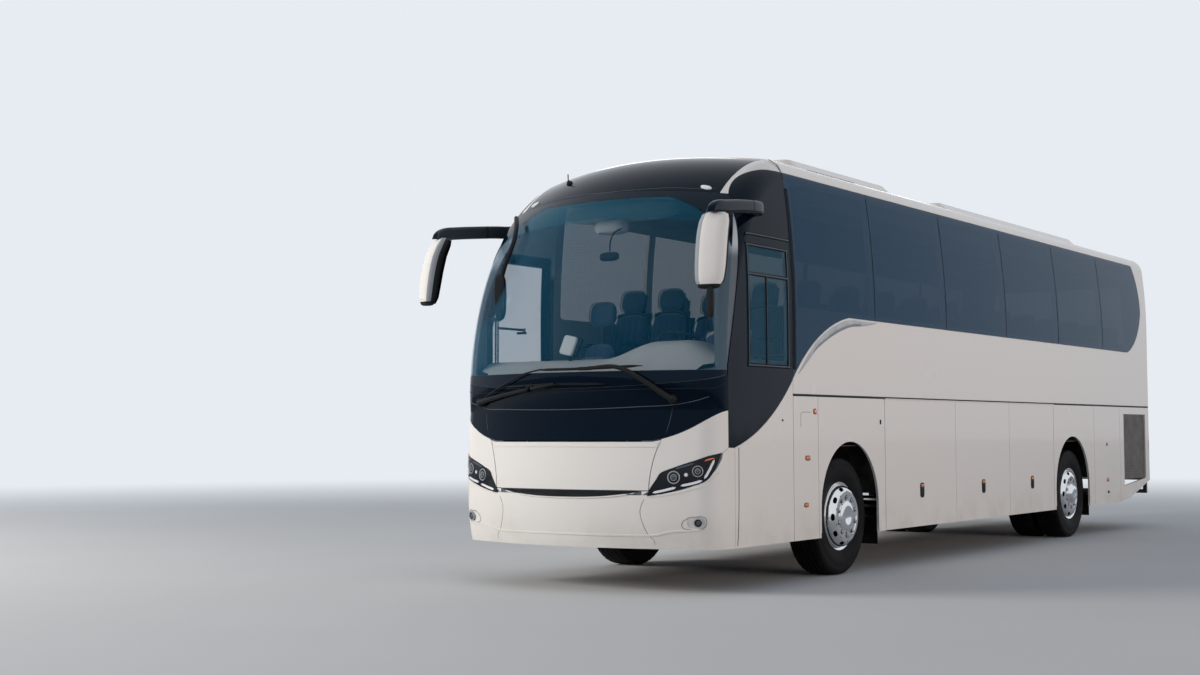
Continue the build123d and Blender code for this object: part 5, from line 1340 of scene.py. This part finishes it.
# Mirrors: each head's turn towards the driver and its rows: height, middle x, station, width, depth
HEADS = {
    "left": (0.27, [(2.370, 1.385, -0.012, 0.130, 0.070), (2.382, 1.387, -0.013, 0.172, 0.096),
                    (2.430, 1.392, -0.012, 0.220, 0.124), (2.530, 1.398, -0.008, 0.242, 0.138),
                    (2.665, 1.402, 0.002, 0.248, 0.142), (2.790, 1.405, 0.018, 0.246, 0.142),
                    (2.890, 1.409, 0.040, 0.236, 0.136), (2.942, 1.411, 0.054, 0.206, 0.114),
                    (2.958, 1.411, 0.059, 0.155, 0.078)]),
    "right": (0.46, [(2.370, 1.416, -0.026, 0.120, 0.070), (2.382, 1.417, -0.026, 0.160, 0.095),
                     (2.430, 1.420, -0.020, 0.196, 0.122), (2.530, 1.420, -0.004, 0.212, 0.134),
                     (2.665, 1.415, 0.020, 0.220, 0.140), (2.790, 1.404, 0.050, 0.220, 0.140),
                     (2.890, 1.386, 0.090, 0.210, 0.134), (2.942, 1.372, 0.116, 0.180, 0.112),
                     (2.958, 1.367, 0.125, 0.130, 0.075)]),
}
HEAD_STEPS = 40
# How far round a head its black back reaches, as the sine of the angle
BACK_RIM = -0.10
# Below this height the heads are black all round
HEAD_FOOT_Z = 2.392
# The arms' middle lines from the flank to the head: (x, station, z)
ARM_LINES = {
    "left": [(1.190, 0.962, 3.092), (1.300, 0.945, 3.092), (1.345, 0.790, 3.086), (1.384, 0.450, 3.052),
             (1.412, 0.150, 3.014), (1.424, -0.050, 3.008)],
    "right": [(1.190, 0.962, 3.085), (1.300, 0.945, 3.085), (1.345, 0.790, 3.076), (1.378, 0.450, 3.040),
              (1.394, 0.200, 3.010), (1.402, 0.050, 3.006)],
}
# An arm's width and height, the length over which its end rounds down, and the steps round it
ARM_WIDE = 0.070
ARM_TALL = 0.112
ARM_ROUND = 0.200
ARM_STEPS = 28
# How far along the arm its joint is
ARM_JOINT = (0.36, 0.38)


def mirror_arm(side, line):
    """A bent arm whose front end rounds down on the head, with the joint near its foot."""
    points = smooth_line([at(side * x, s, z) for x, s, z in line], 0.02)
    lengths = arc_lengths(points)
    rows = []
    slots = []
    for index, point in enumerate(points):
        ahead = points[min(index + 1, len(points) - 1)] - points[max(index - 1, 0)]
        across = ahead.cross(Vector((0, 0, 1))).normalized()
        gone = 1.0 - min((lengths[-1] - lengths[index]) / ARM_ROUND, 0.97)
        tall = ARM_TALL * (1.0 - gone ** 2.4) ** 0.5
        foot = Vector((point.x, point.y, point.z - ARM_TALL / 2))
        row = []
        for k in range(ARM_STEPS):
            w, h = ringed(tau * k / ARM_STEPS, ARM_WIDE / 2, tall / 2, 3.6)
            row.append(foot + across * w + Vector((0, 0, tall / 2 + h)))
        rows.append(row)
        slots.append(1 if ARM_JOINT[0] <= lengths[index] < ARM_JOINT[1] else 0)
    arm = Shape()
    for a, b, slot in zip(rows, rows[1:], slots):
        arm.grid([a, b] if side > 0 else [b, a], slot, wrap=True)
    arm.add(rows[0], [list(range(ARM_STEPS))[::-side]])
    arm.add(rows[-1], [list(range(ARM_STEPS))[::side]])
    return arm


def mirror_head(side, turn, table):
    """A white shell with a black back, and the glass that stands in it."""
    head = Shape()

    def place(x, s, z, w, d):
        return at(side * (x + w * cos(turn) - d * sin(turn)), s + w * sin(turn) + d * cos(turn), z)

    path = smooth_line([(x, s, z) for z, x, s, _, _ in table], 0.025)
    sizes = smooth_line([(w, d, z) for z, _, _, w, d in table], 0.025)
    rows = []
    for point in path:
        size = min(sizes, key=lambda row: abs(row.z - point.z))
        row = []
        for k in range(HEAD_STEPS):
            w, d = ringed(tau * k / HEAD_STEPS, size.x / 2, size.y / 2, 2.7)
            row.append(place(point.x, point.y, point.z, w, d))
        rows.append(row)
    if side < 0:
        rows.reverse()
    for a, b in zip(rows, rows[1:]):
        for k in range(HEAD_STEPS):
            d = (k + 1) % HEAD_STEPS
            back = sin(tau * (k + 0.5) / HEAD_STEPS) > BACK_RIM or min(a[k].z, b[k].z) < HEAD_FOOT_Z
            head.add([a[k], a[d], b[d], b[k]], [(0, 1, 2, 3)], 1 if back else 0)
    for row, order in ((rows[0], -1), (rows[-1], 1)):
        head.add(row, [list(range(HEAD_STEPS))[::order]], 1 if row[0].z < HEAD_FOOT_Z else 0)
    face = []
    for z, x, s, w, d in table[1:-1]:
        grow = 0.92 if table[2][0] <= z <= table[-3][0] else 0.78
        face.append([place(x, s, z, w / 2 * grow * c, d / 2 + 0.0012) for c in (-1, -0.5, 0, 0.5, 1)])
    head.grid(face if side > 0 else face[::-1], 2)
    return head


# The close-range mirrors: middle (x, station, z), size, roundness, steps, corner power
CLOSE_PADS = [((1.418, -0.045, 2.262), (0.062, 0.050, 0.240), 0.15, 6, 4.0),
              ((-0.868, 0.285, 2.435), (0.120, 0.060, 0.400), 0.2, 7, 3.4)]
# The stalk of the one inside the far post: (x, station, z)
CLOSE_STALK = [(-0.935, 0.60, 3.155), (-0.835, 0.47, 3.05), (-0.800, 0.385, 2.91), (-0.825, 0.315, 2.74),
               (-0.860, 0.292, 2.60)]


def mirrors():
    """The mirrors: arms, heads, and the small close-range mirrors."""
    for side, name in SIDES:
        arm = mirror_arm(side, ARM_LINES[name]).make(f"mirror_arm_{name}", "body", ["black", "gap"], 40)
        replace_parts(arm, "mirror_arms")
        head = mirror_head(side, *HEADS[name])
        head = head.make(f"mirror_head_{name}", "body", ["white", "plastic", "mirror"], 40)
        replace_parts(head, "mirror_heads")
    small = Shape()
    for place, size, crown, steps, power in CLOSE_PADS:
        small.pad(at(*place), size, crown, steps, power)
    small.tube(smooth_line([at(*p) for p in CLOSE_STALK], 0.04), 0.020, 10)
    small.make("close_mirrors", "body", ["plastic"], 50)


# Wipers: blade, arm from its pivot, both as (x, station, z), and the arm's radius at its ends
BLADES = [
    ([(-0.657, 0.085, 1.654), (-0.069, 0.009, 1.664), (0.415, 0.039, 1.660)],
     [(-0.977, 0.186, 1.532), (-0.560, 0.08, 1.600), (-0.069, 0.009, 1.668)], (0.022, 0.013)),
    ([(-0.253, 0.016, 1.787), (0.271, 0.017, 1.787), (0.715, 0.098, 1.801)],
     [(0.952, 0.177, 1.532), (0.562, 0.061, 1.778), (0.271, 0.017, 1.790)], (0.026, 0.014)),
]
PIVOT = [(-0.004, 0.040), (0.030, 0.038), (0.052, 0.030), (0.058, 0.020), (0.059, 0.0005)]
WIPER_ROD = [(-0.930, 0.165, 1.560), (-0.66, 0.095, 1.665), (-0.417, 0.036, 1.752), (-0.20, 0.012, 1.790)]


def wipers():
    """The two wipers with their arms, pivots and a thin second rod."""
    tree = surface("windscreen", "front_mask")
    wiper = Shape()
    for blade, arm, (thick, thin) in BLADES:
        rows = cling(tree, [at(*p) for p in blade], AHEAD)
        mid = len(rows) // 2
        ribbon(wiper, raised(rows, 0.002), 0.0035, 0.014, 1, flat=0.8, sunk=0.0)
        ribbon(wiper, raised(rows, 0.014), 0.011, 0.012, flat=0.35, sunk=0.0, taper=0.10)
        ribbon(wiper, raised(rows[mid - 4:mid + 4], 0.024), 0.015, 0.016, sunk=0.0, taper=0.05)
        rows = cling(tree, [at(*p) for p in arm], AHEAD)
        count = len(rows) - 1
        lifted = [p + n * (0.042 - 0.006 * k / count) for k, (p, n) in enumerate(rows)]
        wiper.tube(lifted, [thick + (thin - thick) * k / count for k in range(count + 1)], 10)
        wiper.spun(PIVOT, *rows[0], 20, 0)
    rod = cling(tree, [at(*p) for p in WIPER_ROD], AHEAD, 0.04)
    wiper.tube([p for p, _ in raised(rod, 0.034)], 0.007)
    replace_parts(wiper.make("wiper_set", "body", ["plastic", "rubber"], 40), "wipers")


# Interior

# Seat rows, floor heights, places across the bus, the backs' lean, and how the stuffed forms are made
SEAT_PITCH = 0.79
SEAT_ROWS = 12
DECK_Z = 1.50
CAB_Z = 1.08
PAIR_X = 0.72
SEAT_X = 0.215
LEAN = 0.226
VOXEL = 0.021
SWELL_CAP = 0.014
SWELL_FRAMES = 20
SWELL_PRESSURE = 4.0


def evaluated(piece):
    """The piece's mesh with its modifiers applied, which are then taken off."""
    mesh = bpy.data.meshes.new_from_object(piece.evaluated_get(bpy.context.evaluated_depsgraph_get()))
    piece.modifiers.clear()
    return mesh


def swollen(name, size, power, grooves):
    """A stuffed form: a rounded block remeshed, blown up as cloth and drawn in along its sewn grooves."""
    shape = Shape()
    shape.pad(Vector(), size, 0.12, 7, power)
    mesh = bpy.data.meshes.new(name)
    mesh.from_pydata(shape.verts, [], shape.faces)
    piece = bpy.data.objects.new(name, mesh)
    bpy.context.scene.collection.objects.link(piece)
    remesh = piece.modifiers.new("remesh", "REMESH")
    remesh.mode = "VOXEL"
    remesh.voxel_size = VOXEL
    base = evaluated(piece)
    piece.data = base
    start = [v.co.copy() for v in base.vertices]
    skin = piece.modifiers.new("cloth", "CLOTH")
    skin.settings.use_pressure = True
    skin.settings.uniform_pressure_force = SWELL_PRESSURE
    skin.settings.effector_weights.gravity = 0.0
    skin.settings.quality = 4
    skin.point_cache.frame_end = SWELL_FRAMES
    for number in range(1, SWELL_FRAMES + 1):
        bpy.context.scene.frame_set(number)
    base = evaluated(piece)
    bpy.context.scene.frame_set(1)
    for vertex, before in zip(base.vertices, start):
        move = vertex.co - before
        if move.length > SWELL_CAP:
            vertex.co = before + move.normalized() * SWELL_CAP
    for vertex in base.vertices:
        for axis, place, width, deep in grooves:
            share = exp(-((vertex.co[axis] - place) / width) ** 2)
            vertex.co -= vertex.normal * deep * share
    verts = [v.co.copy() for v in base.vertices]
    faces = [list(face.vertices) for face in base.polygons]
    bpy.data.objects.remove(piece)
    return verts, faces


def placed(shape, form, matrix, slot=0):
    """Add a form to a shape by a matrix."""
    verts, faces = form
    shape.add([matrix @ v for v in verts], faces, slot)


def piping(shape, half_w, half_h, depth, matrix, slot=0, radius=0.0045, power=4.5, steps=28):
    """A piped seam round a cushion's rim, in its X and Z plane at a depth along Y."""
    rows = []
    for k in range(steps):
        a = tau * k / steps
        w, h = ringed(a, half_w, half_h, power)
        out = Vector((cos(a), 0, sin(a)))
        rows.append([matrix @ (Vector((w, depth, h)) + out * p + Vector((0, q, 0)))
                     for p, q in circle(radius, 5)])
    shape.grid(rows, slot, wrap=True, close=True)


# Stuffed forms: size, corner power, sewn grooves (axis, place, width, depth)
SEAT_FORMS = {
    "cushion": ((0.40, 0.44, 0.105), 5.0, [(1, -0.07, 0.010, 0.008), (1, 0.08, 0.010, 0.008)]),
    "back": ((0.40, 0.070, 0.56), 5.0,
             [(0, -0.125, 0.010, 0.008), (0, 0.125, 0.010, 0.008), (2, 0.02, 0.010, 0.007)]),
    "head": ((0.272, 0.074, 0.215), 4.0, [(2, -0.085, 0.009, 0.006)]),
}
# A seat's cushion and the foot of its back: way back, height over the floor and tilt
CUSHION_AT = (0.215, 0.392, 0.045)
BACK_FOOT_AT = (0.482, 0.380, -LEAN)
# From the back's foot: the middles of back and headrest, and the corners of the shells behind them
BACK_UP = (0, 0, 0.275)
HEAD_UP = (0, -0.004, 0.668)
SHELLS = [((-0.195, 0.030, -0.05), (0.195, 0.046, 0.56)), ((-0.120, 0.024, 0.54), (0.120, 0.040, 0.74))]
# Piped seams: half width, half height, depth
BACK_SEAM = (0.200, 0.275, -0.030)
HEAD_SEAM = (0.136, 0.104, -0.028)
CUSHION_SEAM = (0.200, 0.218, 0.040)


def seat(soft, hard, forms, x, s, floor, wide=1.0):
    """One seat: cushion, leaning back and headrest, with its shell behind. s is the cushion's front edge."""

    def stand(away, up, tilt):
        place = Matrix.Translation(at(x, s + away, floor + up))
        return place @ tipped(tilt) @ Matrix.Diagonal((wide, 1, 1, 1))

    cushion = stand(*CUSHION_AT)
    foot = stand(*BACK_FOOT_AT)
    back = foot @ Matrix.Translation(BACK_UP)
    head = foot @ Matrix.Translation(HEAD_UP)
    placed(soft, forms["cushion"], cushion)
    placed(soft, forms["back"], back)
    placed(soft, forms["head"], head, 1)
    piping(soft, *BACK_SEAM, back, 1)
    piping(soft, *HEAD_SEAM, head)
    piping(soft, *CUSHION_SEAM, cushion @ tipped(pi / 2), 1)
    for lowest, highest in SHELLS:
        hard.box(lowest, highest, 0, foot)


# Rails and feet under a pair of seats, and an armrest's upright: ranges of x, station and height, slot
PAIR_BOXES = [(-0.42, 0.42, 0.06, 0.46, 0.27, 0.325, 1), (-0.295, -0.245, 0.10, 0.36, 0.001, 0.28, 1),
              (0.245, 0.295, 0.10, 0.36, 0.001, 0.28, 1)]
ARM_BOXES = [(-0.012, 0.012, 0.370, 0.430, 0.32, 0.60, 1)]


def passenger_seats(forms):
    """The rows of double seats."""
    first = low("passenger_seats").y - NOSE_Y
    for side, name in SIDES:
        hard = Shape()
        for row in range(SEAT_ROWS):
            s = first + row * SEAT_PITCH
            soft = Shape()
            for inner in (-1, 1):
                seat(soft, hard, forms, side * PAIR_X + inner * SEAT_X, s, DECK_Z)
            for share in (-1, 0, 1):
                x = side * PAIR_X + share * 0.425
                hard.pad(at(x, s + 0.250, DECK_Z + 0.595), (0.045, 0.300, 0.040), 0.2, 4)
                hard.boxes(ARM_BOXES, (x, s, DECK_Z))
            hard.boxes(PAIR_BOXES, (side * PAIR_X, s, DECK_Z))
            piece = soft.make(f"seats_{name}_{row + 1}", "body", ["seat", "seat_head"], 60)
            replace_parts(piece, "passenger_seats")
        frames = hard.make(f"seat_frames_{name}", "body", ["plastic", "chassis"], 35)
        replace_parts(frames, "passenger_seats")


# The driver's place, the guide's place, and the boxes that carry their seats
DRIVER_AT = (0.64, 0.935, CAB_Z + 0.155)
GUIDE_X = -0.83
GUIDE_S = 1.545
DRIVER_BOXES = [(-0.14, 0.14, 0.035, 0.315, -0.153, 0.245, 1)]
GUIDE_BOXES = [(-0.015, 0.015, 0.225, 0.24, 0.55, 0.80, 1),
               (-0.30, 0.24, 0.002, 0.298, CAB_Z - DECK_Z + 0.002, 0, 0)]
GUIDE_HEAD_AT = (0.250, 0.865, -0.10)
GUIDE_SEAM = (0.140, 0.112, -0.028)
# The guide's seat: form, its way back, height, tilt and scale, and its material slot
GUIDE_FORMS = [("back", (0.175, 0.31, -0.07, 0.93, 1, 1.06), 0),
               ("cushion", (0.065, 0.26, pi / 2, 0.90, 1, 0.75), 0),
               ("head", (*GUIDE_HEAD_AT, 1.04, 1, 1.08), 1)]


def guide_part(s, z, angle, *scale):
    """Where one form of the guide's fold-down seat stands."""
    place = Matrix.Translation(at(GUIDE_X, GUIDE_S + s, DECK_Z + z))
    return place @ tipped(angle) @ Matrix.Diagonal((*scale, 1))


def cab_seats(forms):
    """The driver's seat on its base and the guide's fold-down seat."""
    cab = Shape()
    mount = Shape()
    x, s, _ = DRIVER_AT
    seat(cab, mount, forms, *DRIVER_AT, 1.15)
    mount.pad(at(x, s + 0.185, CAB_Z + 0.40), (0.36, 0.36, 0.14), 0.1, 5, slot=1)
    mount.boxes(DRIVER_BOXES, DRIVER_AT)
    for form, place, slot in GUIDE_FORMS:
        placed(cab, forms[form], guide_part(*place), slot)
    piping(cab, *GUIDE_SEAM, guide_part(*GUIDE_HEAD_AT, 1, 1, 1))
    mount.boxes(GUIDE_BOXES, (GUIDE_X, GUIDE_S, DECK_Z))
    piece = cab.make("cab_seats_soft", "body", ["seat", "seat_head"], 60)
    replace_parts(piece, "cab_seats")
    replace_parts(mount.make("cab_seat_mounts", "body", ["dash", "chassis"], 35, bevel=0.008), "cab_seats")


# The dashboard: its front edge, length along the bus, rows and columns, and its rear face (drop, way back)
DASH_S = 0.236
DASH_LONG = 0.484
DASH_ROWS = 22
DASH_COLUMNS = 60
DASH_TAIL = ((0.012, 0.006), (0.05, 0.004), (0.20, -0.03), (0.24, -0.075), (0.78, -0.078))
# The instrument panel's corners, and the steering column's foot, profile and tilt
PANEL = [(0.36, 0.705, 1.80), (0.92, 0.722, 1.985)]
COLUMN_AT = (0.64, 0.84, 1.97)
COLUMN = [(-0.33, 0.045), (-0.10, 0.040), (-0.066, 0.034)]
COLUMN_TILT = radians(-35)
# The display on the dashboard: its tilt and turn, its face and case (middle, size, slot), and its stalk
DISPLAY_TILT = radians(-16)
DISPLAY_TURN = radians(12)
DISPLAY_PADS = [((-0.315, 0.52, 2.010), (0.140, 0.030, 0.170), 2),
                ((-0.300, 0.55, 2.005), (0.165, 0.045, 0.180), 1)]
DISPLAY_STALK = [(-0.315, 0.55, 1.86), (-0.315, 0.53, 1.95)]


def share_of(value, start, length):
    """How far a value is through a range, from 0 to 1."""
    return min(max((value - start) / length, 0.0), 1.0)


def eased(share):
    """A share with a smooth start and end."""
    return share * share * (3 - 2 * share)


def dash_height(x, s):
    """The dashboard's top over the cab."""
    base = 1.62 + 0.27 * sin(share_of(s, 0.235, 0.36) * pi / 2)
    edge = share_of(x, 0.02, 0.55) * share_of(-x, -1.26, 0.42)
    return base + 0.130 * eased(edge) * eased(share_of(s, 0.30, 0.20))


def dashboard():
    """The moulded dashboard with its instrument hump, a screen on its stalk and the steering column."""
    shell = Shape()
    rows = []
    for r in range(DASH_ROWS + 1):
        s = DASH_S + DASH_LONG * r / DASH_ROWS
        reach = (1.10 if s < 0.40 else 1.17) * min(1.0, 0.82 + (s - DASH_S) * 1.1)
        xs = [reach * (2 * k / DASH_COLUMNS - 1) for k in range(DASH_COLUMNS + 1)]
        rows.append([at(x, s, dash_height(x, s)) for x in xs])
    tail = [[point + Vector((0, back, -drop)) for point in rows[-1]] for drop, back in DASH_TAIL]
    shell.grid(rows + tail)
    shell.box(*[at(*corner) for corner in PANEL], 1)
    shell.spun(COLUMN, at(*COLUMN_AT), tipped(COLUMN_TILT).to_3x3() @ Vector((0, 0, 1)), 20, 1)
    turn = tipped(DISPLAY_TILT) @ Matrix.Rotation(DISPLAY_TURN, 4, "Y")
    for place, size, slot in DISPLAY_PADS:
        shell.pad(at(*place), size, 0.02, 8, 9.0, slot, turn)
    shell.tube([at(*p) for p in DISPLAY_STALK], 0.016, 8, 1)
    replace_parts(shell.make("dashboard_shell", "body", ["dash", "plastic", "pale"], 50), "dashboard")


# The overhead console and the inner mirror: middle (x, station, z), size, roundness, slot
CONSOLE_PADS = [((0.105, 0.56, 2.99), (0.300, 0.160, 0.120), 0.1, 0),
                ((0.105, 0.72, 3.13), (1.10, 0.20, 0.15), 0.1, 0),
                ((0.245, 0.315, 2.715), (0.190, 0.030, 0.075), 0.15, 1)]
# The mirror's rod and the stalk from there up to the console: (x, station, z)
MIRROR_ROD = [(0.235, 0.34, 2.84), (0.240, 0.33, 2.76)]
CONSOLE_STALK = [(0.235, 0.34, 2.84), (0.235, 0.40, 2.92), (0.235, 0.52, 2.97)]


def overhead_console():
    """The console over the windscreen with the inner mirror on its stalk."""
    overhead = Shape()
    for place, size, crown, slot in CONSOLE_PADS:
        overhead.pad(at(*place), size, crown, 5, slot=slot)
    overhead.tube([at(*p) for p in MIRROR_ROD], 0.006, 8, 1)
    overhead.tube(smooth_line([at(*p) for p in CONSOLE_STALK], 0.03), 0.006, 8, 1)
    overhead.make("overhead_console", "body", ["rack", "plastic"], 40)


# The steering wheel's radius, and the steps round it and round its grip
STEERING_R = 0.225
STEERING_STEPS = 64
GRIP_STEPS = 12


def steering_wheel():
    """The rim with its grip, three spokes and padded hub."""
    wheel = Shape()
    centre = middle("steering_wheel")
    turn = tipped(COLUMN_TILT)
    tilt = Matrix.Translation(centre) @ turn
    rows = []
    for k in range(STEERING_STEPS):
        a = tau * k / STEERING_STEPS
        grip = 0.0135 + 0.0012 * cos(a * 16)
        out = Vector((cos(a), sin(a), 0))
        rows.append([tilt @ (out * (STEERING_R + p) + Vector((0, 0, q)))
                     for p, q in circle(grip, GRIP_STEPS)])
    wheel.grid(rows, wrap=True, close=True)
    for angle in (0, 180, 270):
        out = Vector((cos(radians(angle)), sin(radians(angle)), 0))
        line = [out * 0.05 + Vector((0, 0, -0.022)), out * 0.13 + Vector((0, 0, -0.012)), out * 0.218]
        wheel.tube([tilt @ p for p in smooth_line(line, 0.02)], 0.012)
    wheel.pad(centre, (0.150, 0.120, 0.050), 0.2, 6, matrix=turn, slot=1)
    way = turn.to_3x3() @ Vector((0, 0, 1))
    wheel.spun([(-0.062, 0.036), (-0.010, 0.040), (-0.004, 0.030)], centre, way, 20, 1)
    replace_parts(wheel.make("steering_rim", "steering_wheel", ["plastic", "cab_trim"], 40), "steering_wheel")


# Stage

BACKDROP = colour(0.80, 0.84, 0.89)
FLOOR_REACH = 200.0
# Distances between which the floor fades into the backdrop
FLOOR_FADE = (9.0, 30.0)
SKY_COLOUR = (0.72, 0.84, 1.0, 1)
SKY_STRENGTH = 0.40
# name, place, target, size, power, colour
LAMPS = [
    ("key", (-15.0, -17.0, 8.0), (0, -3, 1.5), (9, 6), 3300, (1.0, 0.94, 0.86)),
    ("flank", (22.0, -4.0, 4.0), (1.2, 0, 1.5), (18, 5), 1500, (1.0, 0.82, 0.68)),
    ("back", (-12.0, 20.0, 8.0), (0, 0, 2), (10, 6), 550, (1.0, 0.96, 0.9)),
]


def floor():
    """A pale floor that fades into the backdrop far from the bus."""
    mesh = bpy.data.meshes.new("studio_floor")
    corners = [(-1, -1), (1, -1), (1, 1), (-1, 1)]
    mesh.from_pydata([(x * FLOOR_REACH, y * FLOOR_REACH, 0) for x, y in corners], [], [(0, 1, 2, 3)])
    net = Net("studio_floor", rough=0.9, specular=0.1)
    net.set(color=net.mix(net.cloud(0.2, 2.0, 0.2, 0.8), colour(0.60, 0.60, 0.60), colour(0.64, 0.64, 0.64)))
    away = net.add("ShaderNodeVectorMath", operation="LENGTH", i0=net.place()).outputs["Value"]
    seen = net.add("ShaderNodeLightPath").outputs["Is Camera Ray"]
    glow = net.add("ShaderNodeEmission", i0=BACKDROP, i1=1.0)
    share = net.times(seen, net.ramp(away, *FLOOR_FADE))
    blend = net.add("ShaderNodeMixShader", i0=share, i1=net.shader.outputs[0], i2=glow.outputs[0])
    net.tree.links.new(blend.outputs[0], net.tree.nodes["Material Output"].inputs["Surface"])
    mesh.materials.append(net.material)
    ground = bpy.data.objects.new("studio_floor", mesh)
    bpy.context.scene.collection.objects.link(ground)


def lights():
    """Three large soft lamps."""
    for name, place, target, size, power, tone in LAMPS:
        data = bpy.data.lights.new(name, "AREA")
        data.shape = "RECTANGLE"
        data.size, data.size_y = size
        data.energy = power
        data.color = tone
        lamp = bpy.data.objects.new(name, data)
        lamp.location = place
        lamp.visible_glossy = name == "back"
        lamp.rotation_euler = (Vector(target) - Vector(place)).to_track_quat("-Z", "Y").to_euler()
        bpy.context.scene.collection.objects.link(lamp)


def sky():
    """A soft blue world light behind a plain backdrop."""
    world = bpy.data.worlds.new("studio")
    world.use_nodes = True
    net = Graph(world.node_tree)
    light = net.tree.nodes["Background"]
    net.feed(light.inputs[0], SKY_COLOUR)
    net.feed(light.inputs[1], SKY_STRENGTH)
    plain = net.add("ShaderNodeBackground", i0=BACKDROP, i1=1.0)
    path = net.add("ShaderNodeLightPath").outputs
    seen = net.most(net.most(path["Is Camera Ray"], path["Is Glossy Ray"]), path["Is Transmission Ray"])
    mix = net.add("ShaderNodeMixShader", i0=seen, i1=light.outputs[0], i2=plain.outputs[0])
    net.tree.links.new(mix.outputs[0], net.tree.nodes["World Output"].inputs[0])
    bpy.context.scene.world = world
    bpy.context.scene.view_settings.view_transform = "Standard"


def camera():
    """The photograph's camera."""
    yaw, pitch, roll = radians(CAMERA_YAW), radians(CAMERA_PITCH), radians(CAMERA_ROLL)
    ahead = Vector((-sin(yaw) * cos(pitch), cos(yaw) * cos(pitch), sin(pitch)))
    level = Vector((cos(yaw), sin(yaw), 0))
    up = level.cross(ahead)
    right = level * cos(roll) + up * sin(roll)
    top = up * cos(roll) - level * sin(roll)
    data = bpy.data.cameras.new("camera")
    data.sensor_width = 36.0
    data.lens = LENS_MM
    view = bpy.data.objects.new("camera", data)
    turn = Matrix((right, top, -ahead)).transposed()
    view.matrix_world = Matrix.Translation(at(CAMERA_X, CAMERA_S, CAMERA_Z)) @ turn.to_4x4()
    bpy.context.scene.collection.objects.link(view)
    bpy.context.scene.camera = view


floor()
lights()
sky()
camera()
dress_nodes()
tyres()
rims()
trim_lines()
flank_trim()
driver_window()
roof_trim()
rear_lid()
rear_trim()
door_trim()
slot_insert()
headlamps()
mirrors()
wipers()
dashboard()
overhead_console()
steering_wheel()
stuffed = {name: swollen(name, *row) for name, row in SEAT_FORMS.items()}
passenger_seats(stuffed)
cab_seats(stuffed)
